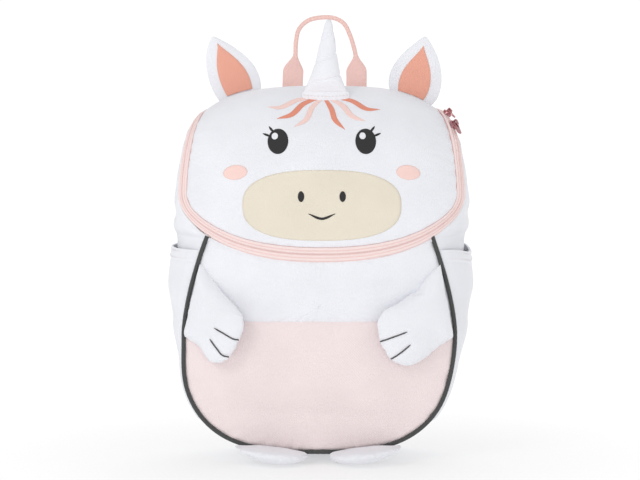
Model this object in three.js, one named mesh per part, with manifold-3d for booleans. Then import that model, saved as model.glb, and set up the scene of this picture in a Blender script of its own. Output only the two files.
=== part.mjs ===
// A child's backpack in the form of a unicorn, in millimetres.
// X runs across the bag, -Y is the front and +Z is up. The origin is the base's middle, on the floor.
// Cloth panels are thin walls cut from a few shared surfaces, so the bag is hollow and its seams line up.

import * as THREE from 'three';
import { mergeVertices } from 'three/addons/utils/BufferGeometryUtils.js';
import Module from 'manifold-3d';

// Driving dimensions

const CLOTH = 1.6; // outer cloth with its backing
const SEAM = 0.6; // clearance left between two panels at a seam
const PAD = 3.2; // padded back panel

// Head flap: a side profile carried across the bag, with its sides rolled back
const HEAD = {
  frontY: -69, // front of the flap at its lower edge
  hangZ: 165, // height that lengths along the profile are measured from
  hangRun: 20, // straight stretch below it
  bendZ: 190, // where the profile starts to lean back
  crownY: 14, // highest point of the profile
  crownZ: 311,
  rearY: 46, // seam at the top of the back
  rearZ: 309,
  rearRun: 12, // stretch past that seam
  rearFall: 1.5,
  roundness: 2.2, // superellipse power of the lean from the front to the crown
  halfWidth: 118,
  sideRoll: 40, // how far the sides roll back at the half width
  rollPower: 3.7,
};
const FLAP = {
  halfWidth: 112, chinDrop: 49, chinPower: 2.05, chinH: 17, rearNarrowing: 20, narrowPower: 1.63,
};
const ZIP = {
  width: 12.5, sideShare: 0.62, tape: 1.2, split: 0.4, rearStop: 3,
  coilWidth: 3.2, coilHeight: 1.2, coilLift: 0.5,
};

// Front seam of the belly, seen from the front: an egg with a piped edge
const BELLY = {
  halfWidth: 110,
  wideZ: 108, // height where the egg is widest
  bottomZ: 10,
  bottomPower: 2.7,
  taper: 17, // how much narrower each side is where it meets the zip
  taperPower: 1.7,
  seamY: -47, // depth of the piped seam at the base
  seamPower: 0.6,
  overEdge: 1.05, // how far past the seam the panel's surface still bends
  zipBlend: 4, // height above the hang point where the panel lies along the zip
  bulge: 14,
  bulgePower: 2.4,
  colourSeamZ: 119, // where the white cloth meets the pink
  topT: 1.06, // where the white cloth's sides end on the piping
  zipFrom: 0.012, // how far along the zip its top edge starts
  upperMiddle: [0, 132], // a point of the white cut that sees the whole of its outline
};
const PIPING = { radius: 2.1, sides: 6, clearance: 2.7, end: 1.95 };

// Back panel and the gusset between the front seam and the back seam
const BACK = {
  y: 50,
  halfWidth: 113,
  bottomZ: 9,
  shoulderZ: 230, // where the sides start to lean in
  shoulderRise: 54,
  shoulderNarrowing: 12,
  shoulderPower: 2.2,
  crown: 3,
  middleZ: 160, // middle of the crowned pad
  middleReach: 150,
  topT: 0.02, // where its sides end, near the zip's end
};
const GUSSET = {
  swellPower: 2.6,
  fullDepth: 90, // a strip narrower than this swells less
  maxClearance: 0.3, // most of a narrow strip's depth that the piping's clearance takes
  zipEnd: 2.97,
};
const BASE_FALL = 21; // how far the base would sag if the floor didn't hold it flat
const GUSSET_SWELL = [
  { z: 300, swell: 0 },
  { z: 262, swell: 2.5 },
  { z: 230, swell: 6.5 },
  { z: 208, swell: 12 },
  { z: 193, swell: 15.5 },
  { z: 179, swell: 6 },
  { z: 150, swell: 2.5 },
  { z: 115, swell: 2 },
  { z: 63, swell: 2 },
  { z: 30, swell: 9 },
  { z: 10, swell: BASE_FALL },
];

// Side pockets: a second layer of cloth that stands off the gusset towards its mouth
const POCKET = { mouthZ: 177, endAngle: 40, gap: 1.0, power: 2.4 };
const POCKET_SWELL = [
  { z: 180, swell: 12 },
  { z: 150, swell: 14 },
  { z: 115, swell: 6.5 },
  { z: 80, swell: 1 },
  { z: 30, swell: 0 },
];

// Soft trim
// Each ear's edges run from a foot at innerX and outerX to its tip, drawn towards a bow point.
const EARS = [
  {
    name: 'left', side: -1, tip: [92.8, 353.4],
    innerX: 51.8, innerBow: [51, 336], outerX: 86.6, outerBow: [106, 331],
  },
  {
    name: 'right', side: 1, tip: [88.2, 353.5],
    innerX: 57.8, innerBow: [52, 331], outerX: 92.5, outerBow: [113, 320],
  },
];
const EAR = {
  y: 33, edge: 2, thick: 6, fillPower: 2.4, tipPower: 3, tipShare: 0.97,
  inset: 0.6, insetPower: 3.6, leastInset: 0.12, innerFoot: 0.04, innerTop: 0.82,
  lining: 0.9, liningLift: 0.5,
};
const HORN = { x: 2.4, y: -21, lean: 3.4, turns: 3.5, groove: 0.08, groovePower: 4 };
const HORN_SECTIONS = [
  { rise: 0, halfWidth: 20.8, halfDepth: 2.4 },
  { rise: 4.5, halfWidth: 17.9, halfDepth: 2.4 },
  { rise: 9, halfWidth: 15.9, halfDepth: 5.5 },
  { rise: 14, halfWidth: 13.8, halfDepth: 7.8 },
  { rise: 19, halfWidth: 12, halfDepth: 8.8 },
  { rise: 24, halfWidth: 10.5, halfDepth: 8.9 },
  { rise: 30, halfWidth: 9.1, halfDepth: 8.4 },
  { rise: 36, halfWidth: 8, halfDepth: 7.5 },
  { rise: 42, halfWidth: 6.9, halfDepth: 6.5 },
  { rise: 48, halfWidth: 5.8, halfDepth: 5.5 },
  { rise: 54, halfWidth: 4.5, halfDepth: 4.3 },
  { rise: 60, halfWidth: 3.2, halfDepth: 3 },
  { rise: 63.5, halfWidth: 1.6, halfDepth: 1.5 },
];
const ARMS = [
  { name: 'left', side: -1, lift: 30 },
  { name: 'right', side: 1, lift: 20 },
];
const ARM = {
  rootTop: [95, 164], rootBottom: [105.5, 104.5], rootY: -55.1, front: 10, back: 2, edge: 2.4,
};
// The sewn edge of each mitten between the ends of its root: out from the root's middle, and up along it
const MITTENS = {
  left: [
    { out: 16, up: 15.7 }, { out: 35.7, up: 3.4 }, { out: 42.7, up: -2.4 }, { out: 45.3, up: -9 },
    { out: 44.2, up: -22.6 }, { out: 37.8, up: -37.8 }, { out: 26.3, up: -46.5 }, { out: 18, up: -45 },
    { out: 8.4, up: -37.2 },
  ],
  right: [
    { out: 19.6, up: 16.6 }, { out: 38.1, up: 7.3 }, { out: 51, up: 2.8 }, { out: 57.6, up: -4.5 },
    { out: 58.1, up: -19 }, { out: 52.4, up: -36 }, { out: 38.9, up: -44.8 }, { out: 22.6, up: -41.9 },
    { out: 10, up: -34.9 },
  ],
};
const FEET = {
  centreX: 39, halfWidth: 31, length: 38, roundness: 0.8, thick: 15.5, midZ: 8, rearY: -49.4,
  tilt: 5.5, edge: 2.4,
};
const STUFFING = { power: 2.4, fullness: 0.7 }; // how a stuffed piece falls away towards its edge

// Straps
const HANDLE = {
  y: 52.6, endWidth: 17.5, endThick: 2.2, gripWidth: 3.8, gripDepth: 8,
  flatBelowZ: 323, foldedAboveZ: 338, // between these heights the webbing folds to a grip
};
const HANDLE_ROUTE = [
  { x: -25.1, z: 288 }, { x: -25, z: 309 }, { x: -24.4, z: 323 }, { x: -22.6, z: 337 }, { x: -22.1, z: 348 },
  { x: -19.5, z: 359 }, { x: -11.8, z: 366.4 }, { x: 0.2, z: 369.2 }, { x: 11.3, z: 368.4 },
  { x: 19.1, z: 363.8 }, { x: 24.2, z: 354 }, { x: 27.2, z: 344.8 }, { x: 29, z: 337 }, { x: 29.8, z: 323 },
  { x: 29.8, z: 309 }, { x: 29.8, z: 288 },
];
const STRAP = { width: 42, thick: 7, webbing: 20, webbingThick: 1.8 };
const STRAP_ROUTE = [
  { x: 41, y: 55.4, z: 285 },
  { x: 41, y: 58, z: 272 },
  { x: 43, y: 71, z: 240 },
  { x: 49, y: 81, z: 200 },
  { x: 56, y: 83, z: 160 },
  { x: 64, y: 77, z: 124 },
];
const WEBBING_ROUTE = [
  { x: 71.2, y: 70, z: 97 },
  { x: 77, y: 63, z: 73 },
  { x: 83, y: 54.6, z: 50 },
  { x: 86, y: 52, z: 38 },
];
const LOCK = { width: 28, height: 24, thick: 4, rim: 4, slot: 5 };

// Zip hardware: each slider rides on the coil, and its pull hangs from a bridge over the slider
const SLIDER = {
  length: 7.5, width: 6.5, height: 2.2, lift: 2.1,
  bridgeRise: 3.6, bridgeWidth: 1.8, bridgeThick: 1.1, bridgeInset: 0.4, bridgeSink: 0.5,
};
const PULL = {
  length: 12.5, width: 5.2, thick: 1.2, bar: 1.2, eyeWidth: 3.2, eyeLength: 4.6, pivotRise: 1.3,
};
const CORNER_SHARE = 0.35; // rounding of the metal plates' corners, as a share of their width
const SLIDERS = [
  { name: 'upper', fromRear: 36 },
  { name: 'lower', fromRear: 53.5 },
];

// How finely each run is divided
const STEPS = {
  profile: 24, zip: 44, measure: 2000, halvings: 40, seam: 8,
  rings: 4, flapRings: 6, bellySide: 14, bellyTopSide: 6, bellyZip: 16, backSide: 13,
  gussetZip: 8, gussetSide: 5, gussetBase: 18, gussetDepth: 8, pipingBase: 20, pocket: 10,
  earAcross: 6, earUp: 7, horn: 20, hand: 18, armRoot: 4, toe: 16,
  handle: 24, strap: 16, webbing: 8, corner: 3,
};

// Small tools

const v3 = (x, y, z) => new THREE.Vector3(x, y, z);
const mix = (a, b, t) => a + (b - a) * t;
const span = (n, from, to) => Array.from({ length: n + 1 }, (_, i) => mix(from, to, i / n));
const between = (n, from, to) => span(n, from, to).slice(1, -1);
const chain = (...runs) => runs.flatMap((run, i) => (i === 0 ? run : run.slice(1)));
const within = (value, low, high) => Math.min(Math.max(value, low), high);
const ease = (t) => t * t * (3 - 2 * t);

// A value read from a table of rows by height, with a smooth run between the rows.
function fromTable(rows, column, z) {
  if (z >= rows[0].z) return rows[0][column];
  const i = rows.findIndex((row) => z >= row.z);
  if (i < 0) return rows[rows.length - 1][column];
  const t = (z - rows[i].z) / (rows[i - 1].z - rows[i].z);
  return mix(rows[i][column], rows[i - 1][column], ease(t));
}

// Turns vertices and triangles into a geometry, with its faces turned outwards.
function toGeometry(points, faces) {
  const geometry = new THREE.BufferGeometry().setFromPoints(points);
  const volume = faces.reduce(
    (sum, [a, b, c]) => sum + points[a].dot(points[b].clone().cross(points[c])),
    0,
  );
  geometry.setIndex((volume < 0 ? faces.map(([a, b, c]) => [a, c, b]) : faces).flat());
  geometry.computeVertexNormals();
  return geometry;
}

const meanOf = (points) => [0, 1].map((k) => points.reduce((sum, p) => sum + p[k], 0) / points.length);

// A closed solid from two faces with the same closed outline: a front and a back, each made of rings that
// shrink to a middle that sees the whole outline. front and back turn (a, b, rho) into a point, with rho 1
// at the edge.
function ringSolid(edge, rings, front, back, middle = meanOf(edge)) {
  const area = THREE.ShapeUtils.area(edge.map(([x, y]) => ({ x, y })));
  const outline = area < 0 ? edge.slice().reverse() : edge;
  const n = outline.length;
  const points = [];
  const faces = [];
  for (const face of [front, back]) {
    points.push(face(middle[0], middle[1], 0));
    for (let k = 1; k <= rings; k++) {
      const rho = k / rings;
      for (const [a, b] of outline) points.push(face(mix(middle[0], a, rho), mix(middle[1], b, rho), rho));
    }
  }
  const faceSize = 1 + n * rings;
  const at = (side, k, i) => side * faceSize + (k === 0 ? 0 : 1 + (k - 1) * n + (i % n));
  const quad = (a, b, c, d) => faces.push([a, b, c], [a, c, d]);
  for (let i = 0; i < n; i++) {
    faces.push([at(0, 0, 0), at(0, 1, i), at(0, 1, i + 1)]);
    faces.push([at(1, 0, 0), at(1, 1, i + 1), at(1, 1, i)]);
    for (let k = 1; k < rings; k++) {
      quad(at(0, k, i), at(0, k + 1, i), at(0, k + 1, i + 1), at(0, k, i + 1));
      quad(at(1, k, i), at(1, k, i + 1), at(1, k + 1, i + 1), at(1, k + 1, i));
    }
    quad(at(0, rings, i), at(1, rings, i), at(1, rings, i + 1), at(0, rings, i + 1));
  }
  return toGeometry(points, faces);
}

// The outward normal of a surface function, from small steps in its two parameters.
function normalOf(surface, a, b, step = 0.4) {
  const across = surface(a + step, b).sub(surface(a - step, b));
  const along = surface(a, b + step).sub(surface(a, b - step));
  return across.cross(along).normalize();
}

// A cloth panel: the part of a surface inside an outline, with a wall behind it.
function clothPanel(outline, rings, surface, wall, middle) {
  const inner = (a, b) => surface(a, b).addScaledVector(normalOf(surface, a, b), -wall);
  return ringSolid(outline, rings, surface, inner, middle);
}

// A closed solid from two grids of points with the same rows and columns: a front, a back and the edges.
function gridSolid(front, back) {
  const rows = front.length;
  const cols = front[0].length;
  const at = (side, i, j) => (side * rows + i) * cols + j;
  const faces = [];
  const quad = (a, b, c, d) => faces.push([a, b, c], [a, c, d]);
  for (let i = 0; i + 1 < rows; i++) {
    for (let j = 0; j + 1 < cols; j++) {
      quad(at(0, i, j), at(0, i + 1, j), at(0, i + 1, j + 1), at(0, i, j + 1));
      quad(at(1, i, j), at(1, i, j + 1), at(1, i + 1, j + 1), at(1, i + 1, j));
    }
    quad(at(0, i, 0), at(1, i, 0), at(1, i + 1, 0), at(0, i + 1, 0));
    quad(at(0, i, cols - 1), at(0, i + 1, cols - 1), at(1, i + 1, cols - 1), at(1, i, cols - 1));
  }
  for (let j = 0; j + 1 < cols; j++) {
    quad(at(0, 0, j), at(0, 0, j + 1), at(1, 0, j + 1), at(1, 0, j));
    quad(at(0, rows - 1, j), at(1, rows - 1, j), at(1, rows - 1, j + 1), at(0, rows - 1, j + 1));
  }
  return toGeometry([...front.flat(), ...back.flat()], faces);
}

// A cloth strip: a grid of a surface function, with a wall behind it and closed edges.
// The surface's first parameter runs along the strip and its second across it, so that the first turned
// into the second gives the outer side.
function clothStrip(surface, along, across, wall, lift = 0) {
  const grid = along.map((a) => across.map((b) => surface(a, b)));
  const near = (list, i) => list[within(i, 0, list.length - 1)];
  const normal = (i, j) => {
    const du = near(grid, i + 1)[j].clone().sub(near(grid, i - 1)[j]);
    const dv = near(grid[i], j + 1).clone().sub(near(grid[i], j - 1));
    return du.cross(dv).normalize();
  };
  const layer = (d) => grid.map((row, i) => row.map((p, j) => p.clone().addScaledVector(normal(i, j), d)));
  return gridSolid(layer(lift), layer(lift - wall));
}

// A solid through closed sections with the same number of points, capped at both ends.
function loft(sections) {
  const n = sections[0].length;
  const points = sections.flat();
  const faces = [];
  const at = (k, i) => k * n + (i % n);
  for (let k = 0; k + 1 < sections.length; k++) {
    for (let i = 0; i < n; i++) {
      faces.push([at(k, i), at(k, i + 1), at(k + 1, i + 1)], [at(k, i), at(k + 1, i + 1), at(k + 1, i)]);
    }
  }
  const last = sections.length - 1;
  const middles = [0, last].map((k) => {
    const m = sections[k].reduce((sum, p) => sum.add(p), v3(0, 0, 0)).multiplyScalar(1 / n);
    return points.push(m) - 1;
  });
  for (let i = 0; i < n; i++) {
    faces.push([middles[0], at(0, i + 1), at(0, i)], [middles[1], at(last, i), at(last, i + 1)]);
  }
  return toGeometry(points, faces);
}

// A closed section of a strap: a rectangle with rounded ends, in shares of half its width and thickness.
const STRAP_SECTION = [
  { across: 1, through: -0.35 },
  { across: 1, through: 0.35 },
  { across: 0.8, through: 1 },
  { across: 0, through: 1.08 },
  { across: -0.8, through: 1 },
  { across: -1, through: 0.35 },
  { across: -1, through: -0.35 },
  { across: -0.8, through: -1 },
  { across: 0, through: -1.08 },
  { across: 0.8, through: -1 },
];
function strapSection(centre, widthDir, thickDir, width, thick) {
  return STRAP_SECTION.map(({ across, through }) => {
    const edge = centre.clone().addScaledVector(widthDir, (across * width) / 2);
    return edge.addScaledVector(thickDir, (through * thick) / 2);
  });
}

// Surfaces of the head

// Height of the profile over a depth between the front and the crown.
function headHeightAt(y) {
  const share = (HEAD.crownY - y) / (HEAD.crownY - HEAD.frontY);
  const rise = (1 - share ** HEAD.roundness) ** (1 / HEAD.roundness);
  return mix(HEAD.bendZ, HEAD.crownZ, rise);
}

// The side profile of the head, measured by its length: up the front, over the crown and to the rear seam.
function headProfile() {
  const points = [v3(0, HEAD.frontY, HEAD.hangZ - HEAD.hangRun), v3(0, HEAD.frontY, HEAD.hangZ)];
  const power = 2 / HEAD.roundness;
  for (const angle of span(STEPS.profile, 0, Math.PI / 2)) {
    const y = mix(HEAD.crownY, HEAD.frontY, Math.cos(angle) ** power);
    const z = mix(HEAD.bendZ, HEAD.crownZ, Math.sin(angle) ** power);
    points.push(v3(0, y, z));
  }
  points.push(v3(0, HEAD.rearY, HEAD.rearZ));
  points.push(v3(0, HEAD.rearY + HEAD.rearRun, HEAD.rearZ - HEAD.rearFall));
  return points;
}
const PROFILE = headProfile();
const PROFILE_LENGTHS = PROFILE.map(() => 0);
PROFILE.forEach((p, i) => {
  if (i > 0) PROFILE_LENGTHS[i] = PROFILE_LENGTHS[i - 1] + p.distanceTo(PROFILE[i - 1]);
});
const REAR_H = PROFILE_LENGTHS[PROFILE.length - 2] - HEAD.hangRun;

// Point of the profile at a length h above the hang point.
function profileAt(h) {
  const length = within(h + HEAD.hangRun, 0, PROFILE_LENGTHS[PROFILE.length - 1] - 1e-6);
  const i = PROFILE_LENGTHS.findIndex((l) => l > length) - 1;
  const t = (length - PROFILE_LENGTHS[i]) / (PROFILE_LENGTHS[i + 1] - PROFILE_LENGTHS[i]);
  return PROFILE[i].clone().lerp(PROFILE[i + 1], t);
}

const sideRoll = (x) => HEAD.sideRoll * (Math.abs(x) / HEAD.halfWidth) ** HEAD.rollPower;

// Head surface over (x, h): the profile, set in along its normal by the roll of the sides.
function headSurface(x, h) {
  const step = 4;
  const tangent = profileAt(h + step).sub(profileAt(h - step)).normalize();
  const inward = v3(0, tangent.z, -tangent.y);
  return profileAt(h).addScaledVector(inward, sideRoll(x)).setX(x);
}

// Edge of the flap in (x, h), grown outwards by a distance across the zip.
// t runs from 0 at the rear right, through 0.5 at the chin, to 1 at the rear left.
const CHIN_CENTRE_H = FLAP.chinH + FLAP.chinDrop;
const SIDE_SHARE_OF_EDGE = 0.55; // share of each half that runs down the side, the rest rounds the chin
function flapEdge(grow, t) {
  const side = t < 0.5 ? 1 : -1;
  const half = 1 - Math.abs(2 * t - 1);
  const widest = FLAP.halfWidth + ZIP.sideShare * grow;
  if (half < SIDE_SHARE_OF_EDGE) {
    const up = 1 - half / SIDE_SHARE_OF_EDGE;
    const h = mix(CHIN_CENTRE_H, REAR_H - ZIP.rearStop, up);
    return [side * (widest - FLAP.rearNarrowing * up ** FLAP.narrowPower), h];
  }
  const angle = ((half - SIDE_SHARE_OF_EDGE) / (1 - SIDE_SHARE_OF_EDGE)) * (Math.PI / 2);
  const power = 2 / FLAP.chinPower;
  const drop = FLAP.chinDrop + grow;
  return [side * widest * Math.cos(angle) ** power, CHIN_CENTRE_H - drop * Math.sin(angle) ** power];
}
const headEdge = (grow, t) => headSurface(...flapEdge(grow, t));

// Surfaces of the body

const BODY_EDGE = ZIP.width + 2 * SEAM; // how far outside the flap's edge the body's cloth ends

// Half width of an egg below its widest height.
function eggHalfWidth(z, halfWidth, bottomZ) {
  const share = Math.min((BELLY.wideZ - z) / (BELLY.wideZ - bottomZ), 1);
  return halfWidth * (1 - share ** BELLY.bottomPower) ** (1 / BELLY.bottomPower);
}

// Half width of the piped seam at a height.
function pipingHalfWidth(z) {
  if (z <= BELLY.wideZ) return eggHalfWidth(z, BELLY.halfWidth, BELLY.bottomZ);
  const rise = (z - BELLY.wideZ) / (PIPING_TOP_Z - BELLY.wideZ);
  return BELLY.halfWidth - BELLY.taper * rise ** BELLY.taperPower;
}

// The piping ends where the egg's narrowed side meets the zip.
const PIPING_TOP_T = pipingTop();
const PIPING_TOP = headEdge(BODY_EDGE, PIPING_TOP_T);
const PIPING_TOP_Z = PIPING_TOP.z;
function pipingTop() {
  const narrow = BELLY.halfWidth - BELLY.taper;
  let [low, high] = [SIDE_SHARE_OF_EDGE / 2, 0.5];
  for (let i = 0; i < STEPS.halvings; i++) {
    const t = (low + high) / 2;
    if (headEdge(BODY_EDGE, t).x > narrow) low = t;
    else high = t;
  }
  return low;
}

const bellySeamY = (z) => mix(BELLY.seamY, PIPING_TOP.y, Math.min(z / PIPING_TOP_Z, 1) ** BELLY.seamPower);

// Front of the belly over (x, z): it swells from the piped seam to the middle, and meets the zip at the top.
function bellySurface(x, z) {
  const egg = BELLY.bottomPower;
  const drop = Math.max(BELLY.wideZ - z, 0) / (BELLY.wideZ - BELLY.bottomZ);
  const acrossShare = Math.abs(x) / (z > BELLY.wideZ ? pipingHalfWidth(z) : BELLY.halfWidth);
  const rho = Math.min((acrossShare ** egg + drop ** egg) ** (1 / egg), BELLY.overEdge);
  const swollen = bellySeamY(z) - BELLY.bulge * (1 - rho ** BELLY.bulgePower);
  const atZip = HEAD.frontY + sideRoll(x);
  const blendHeight = HEAD.hangZ + BELLY.zipBlend - BELLY.colourSeamZ;
  const rise = within((z - BELLY.colourSeamZ) / blendHeight, 0, 1);
  return v3(x, mix(swollen, atZip, ease(rise)), z);
}

// Half width of the back panel's outline at a height.
function backHalfWidth(z) {
  if (z < BELLY.wideZ) return eggHalfWidth(z, BACK.halfWidth, BACK.bottomZ);
  const rise = Math.max(z - BACK.shoulderZ, 0) / BACK.shoulderRise;
  return BACK.halfWidth - BACK.shoulderNarrowing * rise ** BACK.shoulderPower;
}
function backSurface(x, z) {
  const rho = Math.min(Math.abs(x) / BACK.halfWidth, 1);
  const rise = Math.min(Math.abs(z - BACK.middleZ) / BACK.middleReach, 1);
  return v3(-x, BACK.y + BACK.crown * (1 - rho * rho) * (1 - rise * rise), z);
}

// One station of the gusset: its front point, its back point and the way it swells.
// t runs from 0 at the zip's end, by 1 at the piping's top and 2 at the widest point, to 3 under the base.
function gussetStation(t) {
  if (t <= 2) {
    const seamZ = mix(PIPING_TOP_Z, BELLY.wideZ, t - 1);
    const seam = v3(pipingHalfWidth(seamZ), bellySeamY(seamZ), seamZ);
    const front = t <= 1 ? headEdge(BODY_EDGE, PIPING_TOP_T * t) : seam;
    const back = v3(backHalfWidth(front.z), BACK.y, front.z);
    return { front, back, outward: v3(1, 0, 0), swell: fromTable(GUSSET_SWELL, 'swell', front.z) };
  }
  const angle = (t - 2) * (Math.PI / 2);
  const power = 2 / BELLY.bottomPower;
  const cos = Math.max(Math.cos(angle), 0) ** power;
  const sin = Math.sin(angle) ** power;
  const frontZ = BELLY.wideZ - (BELLY.wideZ - BELLY.bottomZ) * sin;
  const backZ = BELLY.wideZ - (BELLY.wideZ - BACK.bottomZ) * sin;
  return {
    front: v3(BELLY.halfWidth * cos, bellySeamY(frontZ), frontZ),
    back: v3(BACK.halfWidth * cos, BACK.y, backZ),
    outward: v3(Math.cos(angle), 0, -Math.sin(angle)),
    swell: fromTable(GUSSET_SWELL, 'swell', frontZ),
  };
}

// Gusset over (T, s): T runs from -3 at the left end of the zip, by 0 under the base, to 3 at the right,
// and s from 0 at the front seam to 1 at the back seam. The floor holds the base flat.
function gussetSurface(T, s, standOff = () => 0) {
  const { front, back, outward, swell } = gussetStation(3 - Math.abs(T));
  const free = back.distanceTo(front);
  const from = Math.min(PIPING.clearance / free, GUSSET.maxClearance);
  const share = mix(from, 1 - SEAM / free, s);
  const fill = (1 - Math.abs(2 * share - 1) ** GUSSET.swellPower) * Math.min(free / GUSSET.fullDepth, 1);
  const p = front.clone().lerp(back, share).addScaledVector(outward, swell * fill);
  p.addScaledVector(outward, standOff(p.z, s));
  p.z = Math.max(p.z, 0);
  if (T < 0) p.x = -p.x;
  return p;
}

// Outlines of the panels

// Even steps down one side of the piping's egg between two heights, inset by the piping's clearance.
function pipingEdge(fromT, toT, steps) {
  return span(steps, fromT, toT).map((t) => {
    const { front, outward } = gussetStation(t);
    const inset = front.clone().addScaledVector(outward, -PIPING.clearance);
    return [inset.x, inset.z];
  });
}
const mirrored = (points) => points.map(([x, z]) => [-x, z]).reverse();
const COLOUR_SEAM_T = 1 + (PIPING_TOP_Z - BELLY.colourSeamZ) / (PIPING_TOP_Z - BELLY.wideZ);

function bellyLowerOutline() {
  const right = pipingEdge(COLOUR_SEAM_T, 3, STEPS.bellySide);
  const seam = between(STEPS.seam, -1, 1).map((u) => [u * right[0][0], BELLY.colourSeamZ]);
  return [...right, ...mirrored(right).slice(1), ...seam];
}

// The belly's upper cut: the colour seam, the piping and the zip.
function bellyUpperOutline() {
  const right = pipingEdge(COLOUR_SEAM_T, BELLY.topT, STEPS.bellyTopSide);
  right[0][1] += SEAM;
  const fromT = PIPING_TOP_T + BELLY.zipFrom;
  const zip = span(STEPS.bellyZip, fromT, 1 - fromT).map((t) => {
    const p = headEdge(BODY_EDGE + SEAM, t);
    return [p.x, p.z];
  });
  const seam = between(STEPS.seam, -1, 1).map((u) => [u * right[0][0], right[0][1]]);
  return [...right, ...zip, ...mirrored(right), ...seam];
}

function backOutline() {
  const inset = CLOTH + SEAM;
  const side = span(STEPS.backSide, BACK.topT, 3).map((t) => {
    const { back, outward } = gussetStation(t);
    return [back.x - outward.x * inset, back.z - outward.z * inset];
  });
  const [cornerX] = side[0];
  const top = between(STEPS.seam, -cornerX, cornerX).map((x) => [x, HEAD.rearZ - sideRoll(x) - inset]);
  return [...side, ...mirrored(side).slice(1), ...top];
}

function flapOutline() {
  const edge = span(STEPS.zip, 0, 1).map((t) => flapEdge(-SEAM, t));
  const [rearX, rearH] = edge[0];
  const rear = between(STEPS.seam, -rearX, rearX).map((x) => [x, rearH]);
  return [...edge, ...rear];
}

// Pieces

const MATERIALS = {
  white: new THREE.MeshStandardMaterial({ color: 0xeeeef2, roughness: 0.85 }),
  pink: new THREE.MeshStandardMaterial({ color: 0xedddde, roughness: 0.85 }),
  zipPink: new THREE.MeshStandardMaterial({ color: 0xf3d3ce, roughness: 0.7 }),
  coral: new THREE.MeshStandardMaterial({ color: 0xe9a48c, roughness: 0.85 }),
  dark: new THREE.MeshStandardMaterial({ color: 0x444744, roughness: 0.7 }),
  webbing: new THREE.MeshStandardMaterial({ color: 0xecc6c0, roughness: 0.75 }),
  metal: new THREE.MeshStandardMaterial({ color: 0xb5767a, roughness: 0.3, metalness: 1 }),
  plastic: new THREE.MeshStandardMaterial({ color: 0xe2b9b4, roughness: 0.5 }),
};

const part = new THREE.Group();
function add(name, geometry, material) {
  const mesh = new THREE.Mesh(geometry, MATERIALS[material]);
  mesh.name = name;
  part.add(mesh);
  return mesh;
}

// Flap, zip, belly, gusset and back
add('face_flap', clothPanel(flapOutline(), STEPS.flapRings, headSurface, CLOTH), 'white');
const zipMiddle = ZIP.width / 2;
function zipStrip(from, to, thick, lift = 0) {
  const strip = (t, grow) => headEdge(grow, t);
  return clothStrip(strip, span(STEPS.zip, 0, 1), [from, to], thick, lift);
}
add('zip_tape_upper', zipStrip(0, zipMiddle - ZIP.split / 2, ZIP.tape), 'zipPink');
add('zip_tape_lower', zipStrip(zipMiddle + ZIP.split / 2, ZIP.width, ZIP.tape), 'zipPink');
const coilFrom = zipMiddle - ZIP.coilWidth / 2;
const coil = zipStrip(coilFrom, coilFrom + ZIP.coilWidth, ZIP.coilHeight, ZIP.coilHeight + ZIP.coilLift);
add('zip_coil', coil, 'zipPink');
add('belly_lower', clothPanel(bellyLowerOutline(), STEPS.rings, bellySurface, CLOTH), 'pink');
const bellyUpper = clothPanel(bellyUpperOutline(), STEPS.rings, bellySurface, CLOTH, BELLY.upperMiddle);
add('belly_upper', bellyUpper, 'white');
add('back_panel', clothPanel(backOutline(), STEPS.rings, backSurface, PAD), 'white');
const gussetStations = chain(
  span(STEPS.gussetZip, GUSSET.zipEnd, 2), span(STEPS.gussetSide, 2, 1), span(STEPS.gussetBase, 1, -1),
  span(STEPS.gussetSide, -1, -2), span(STEPS.gussetZip, -2, -GUSSET.zipEnd),
);
const gussetWall = (T, s) => gussetSurface(T, s);
add('gusset', clothStrip(gussetWall, gussetStations, span(STEPS.gussetDepth, 0, 1), CLOTH), 'white');

// Piping: a cord along the front seam, from one end of the zip's chin to the other
function pipingPoint(T) {
  const { front } = gussetStation(3 - Math.abs(T));
  return T < 0 ? front.setX(-front.x) : front;
}
function pipingSection(T) {
  const step = 0.02;
  const tangent = pipingPoint(T - step).sub(pipingPoint(T + step)).normalize();
  const side = tangent.clone().cross(v3(0, -1, 0)).normalize();
  const front = side.clone().cross(tangent);
  return span(PIPING.sides, 0, 2 * Math.PI).slice(1).map((angle) =>
    pipingPoint(T)
      .addScaledVector(side, PIPING.radius * Math.cos(angle))
      .addScaledVector(front, PIPING.radius * Math.sin(angle)));
}
const pipingStations = chain(
  span(STEPS.gussetZip, PIPING.end, 1), span(STEPS.pipingBase, 1, -1),
  span(STEPS.gussetZip, -1, -PIPING.end),
);
add('piping', loft(pipingStations.map(pipingSection)), 'dark');

// Side pockets: open at the mouth, sewn down along the seams and at the lower end
const pocketOff = (z, s) =>
  CLOTH + POCKET.gap + fromTable(POCKET_SWELL, 'swell', z) * (1 - Math.abs(2 * s - 1) ** POCKET.power);
const POCKET_MOUTH_T = 2 - (PIPING_TOP_Z - POCKET.mouthZ) / (PIPING_TOP_Z - BELLY.wideZ);
const POCKET_END_T = 1 - POCKET.endAngle / 90;
const pocketWall = (T, s) => gussetSurface(T, s, pocketOff);
const pocketDepth = span(STEPS.gussetDepth, 0, 1);
const rightStations = span(STEPS.pocket, POCKET_MOUTH_T, POCKET_END_T);
const leftStations = span(STEPS.pocket, -POCKET_END_T, -POCKET_MOUTH_T);
add('pocket_right', clothStrip(pocketWall, rightStations, pocketDepth, CLOTH), 'white');
add('pocket_left', clothStrip(pocketWall, leftStations, pocketDepth, CLOTH), 'white');

// Ears: padded leaves that stand in the top seam, each with a coral front
const bezier = (p, q, r, t) => mix(mix(p, q, t), mix(q, r, t), t);
const EAR_SEAM_Z = mix(HEAD.crownZ, HEAD.rearZ, (EAR.y - HEAD.crownY) / (HEAD.rearY - HEAD.crownY)) + SEAM;
const earFoot = (x) => EAR_SEAM_Z - sideRoll(x);

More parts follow.
